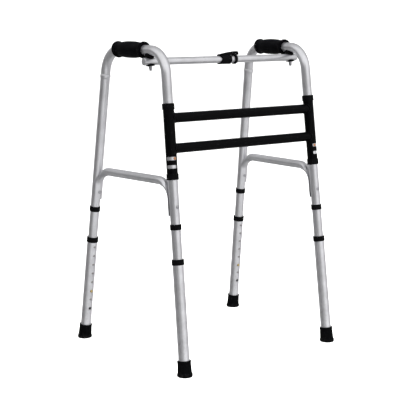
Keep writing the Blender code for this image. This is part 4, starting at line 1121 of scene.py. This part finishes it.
def lockLever():
    # the side view drawn across in rings, which move in by edge (1 - cos a) along their normals at both edges
    line, edge = leverLine(), lever["edge"]
    along = np.roll(line, -1, axis=0) - np.roll(line, 1, axis=0)
    away = gathered(along[:, 1], -along[:, 0])
    away /= np.maximum(np.linalg.norm(away, axis=1, keepdims=True), 1e-9)
    rings = []
    for angle in np.linspace(-np.pi / 2, np.pi / 2, 9):
        x, z = (line - away * edge * (1 - math.cos(angle))).T
        across = math.copysign(lever["half"] - edge, angle) + edge * math.sin(angle)
        rings.append(gathered(x, across, z))
    count, columns = len(rings), len(line)
    ends = [list(range(columns))[::-1], list(range((count - 1) * columns, count * columns))]
    mesh = bpy.data.meshes.new("lockLever")
    points = carried(hingeAxis, np.concatenate(rings))
    mesh.from_pydata(points.tolist(), [], gridQuads(count, columns).tolist() + ends)

    def mend(bm):
        bmesh.ops.triangulate(bm, faces=[face for face in bm.faces if len(face.verts) > 4])
        bmesh.ops.recalc_face_normals(bm, faces=bm.faces)

    made = addMesh("lock_lever", cleaned(mesh, 1e-6, 35, mend), "plastic")
    # hollowed over the housing and the ring, open at the back and round the pin where the ring swings out
    under, over = leverUnder, hinge["ringRadius"] + gap
    step, end = hinge["ringStart"] - gap, hinge["ringEnd"] + gap
    hollow = lathe([(0, leverStart), (under, leverStart), (under, step), (over, step), (over, end), (0, end)])
    swing = boxShape((hinge["reliefStart"], gap, 0), (leverTip + gap, 2 * lever["half"], over + gap))
    reach = math.hypot(hinge["ringEnd"], math.sqrt(hinge["ringRadius"]**2 - leverLow**2)) + gap
    arc = math.acos(step / reach) * np.linspace(-1, 1, 41)
    front = slabShape(reach * gathered(np.cos(arc), np.sin(arc)), -over, over + gap)
    carve(made, [placed(hollow, hingeAxis @ toX), swing, front])


for side, sign in sides.items():
    for make in (sideTube, rearLegTube, sideBrace, sideRivets, grip, stopCollars, sleeve, bushes, stopPin):
        make(side, sign)
    lowerLeg("front", side, sign)
    lowerLeg("rear", side, sign)
    saddles(side, sign)
    braceBolt(side, sign)
print("side frames and legs made")

crossbar("lower")
crossbar("upper")
print("front frame made")

braceTubes()
hingeHousing()
hingeTongue()
hingeRing()
hingePin()
lockLever()
print("folding brace made")


# Floor, light and camera


def paleFloor():
    # a wide floor that turns up into a backdrop: z = r - sqrt(r^2 - d^2) past its flat part
    look = {"tone": colour(0.93, 0.93, 0.93), "cloud": colour(0.90, 0.90, 0.90), "flat": 6.0, "bend": 3.0,
            "height": 8.0, "around": 96}
    turnUp, flat, bend = np.linspace(0, np.pi / 2, 24), look["flat"], look["bend"]
    radius = np.concatenate([[0.0], np.linspace(0.5, flat, 8), flat + bend * np.sin(turnUp), [flat + bend]])
    height = np.concatenate([np.zeros(9), bend * (1 - np.cos(turnUp)), [look["height"]]])
    points = ringPoints(radius[:, None], fullTurn(look["around"]), height[:, None])
    made = linked("floor", meshOf("floor", surface(points, gridQuads(len(radius), look["around"]))))
    finish = material("paleFloor", Roughness=0.7, Emission_Color=colour(1, 1, 1), Emission_Strength=0.2)
    cloud = finish.noise(finish.place(), 1.5, 2.0)
    finish.set("Base_Color", finish.mixed(cloud * 0.3, look["tone"], look["cloud"]))
    made.data.materials.append(finish.holder)
    made.visible_glossy = False


def softBox(name, place, target, size, power):
    # a wide soft light that shows in no reflection
    light = bpy.data.lights.new(name, "AREA")
    light.shape, light.size, light.size_y, light.energy = "RECTANGLE", size[0], size[1], power
    made = linked(name, light)
    made.location = place
    made.rotation_euler = (Vector(target) - Vector(place)).to_track_quat("-Z", "Y").to_euler()
    made.visible_glossy = False


view = {"azimuth": -37.62, "elevation": 10.07, "place": (-1.7701, -2.2955, 0.8857), "focalPixels": 1070,
        "frame": 416, "sensor": 36}


def studio():
    # the room that the tubes mirror: bright to the right and high in front, dim to the left and below
    room = {"dim": 0.13, "bright": 1.0, "lowDim": 0.20, "lowBright": 0.95, "back": 0.60, "highBack": 0.40,
            "highFront": 1.12, "deepDim": 0.17, "deepBright": 0.46}
    sky, heading = Finish(bpy.data.worlds.new("studio"), "Background"), math.radians(view["azimuth"])
    bpy.context.scene.world = sky.holder
    way = sky.node("TexCoord", output="Generated")

    def toward(x, y):
        return sky.node("VectorMath", {"operation": "DOT_PRODUCT"}, [way, (x, y, 0)], "Value")

    def turned(low, high, start, end):
        return sky.between(angle, math.radians(low), math.radians(high), start, end)

    def blend(share, first, second):
        return sky.node("Mix", {"data_type": "FLOAT"}, {0: share, 2: first, 3: second})

    right = toward(math.cos(heading), math.sin(heading))
    front = toward(math.sin(heading), -math.cos(heading))
    up, angle = sky.part(way, 2), right.maths("ARCTAN2", front)
    level = turned(-8, 28, room["dim"], room["bright"])
    lower = turned(-60, 5, room["lowDim"], room["lowBright"])
    level = blend(sky.between(up, -0.28, -0.02, 1, 0), level, lower)
    level = blend(turned(60, 100, 0, 1) + turned(-150, -95, 1, 0), level, room["back"])
    high = sky.between(front, -0.5, 0.3, room["highBack"], room["highFront"])
    level = blend(sky.between(up, 0.11, 0.40), level, high)
    deep = turned(-60, 60, room["deepDim"], room["deepBright"])
    sky.set("Color", blend(sky.between(up, -0.7, -0.4, 1, 0), level, deep))
    softBox("overhead", (0.3, -0.3, 4.0), (0, 0, 0), (5, 5), 420)
    bpy.context.scene.view_settings.view_transform = "Standard"


def camera():
    # the photograph's view
    data = bpy.data.cameras.new("camera")
    data.sensor_width = view["sensor"]
    data.lens = view["focalPixels"] / view["frame"] * view["sensor"]
    made = linked("camera", data)
    made.location = view["place"]
    made.rotation_euler = (math.radians(90 - view["elevation"]), 0, math.radians(view["azimuth"]))
    bpy.context.scene.camera = made


paleFloor()
studio()
camera()
print("studio ready")
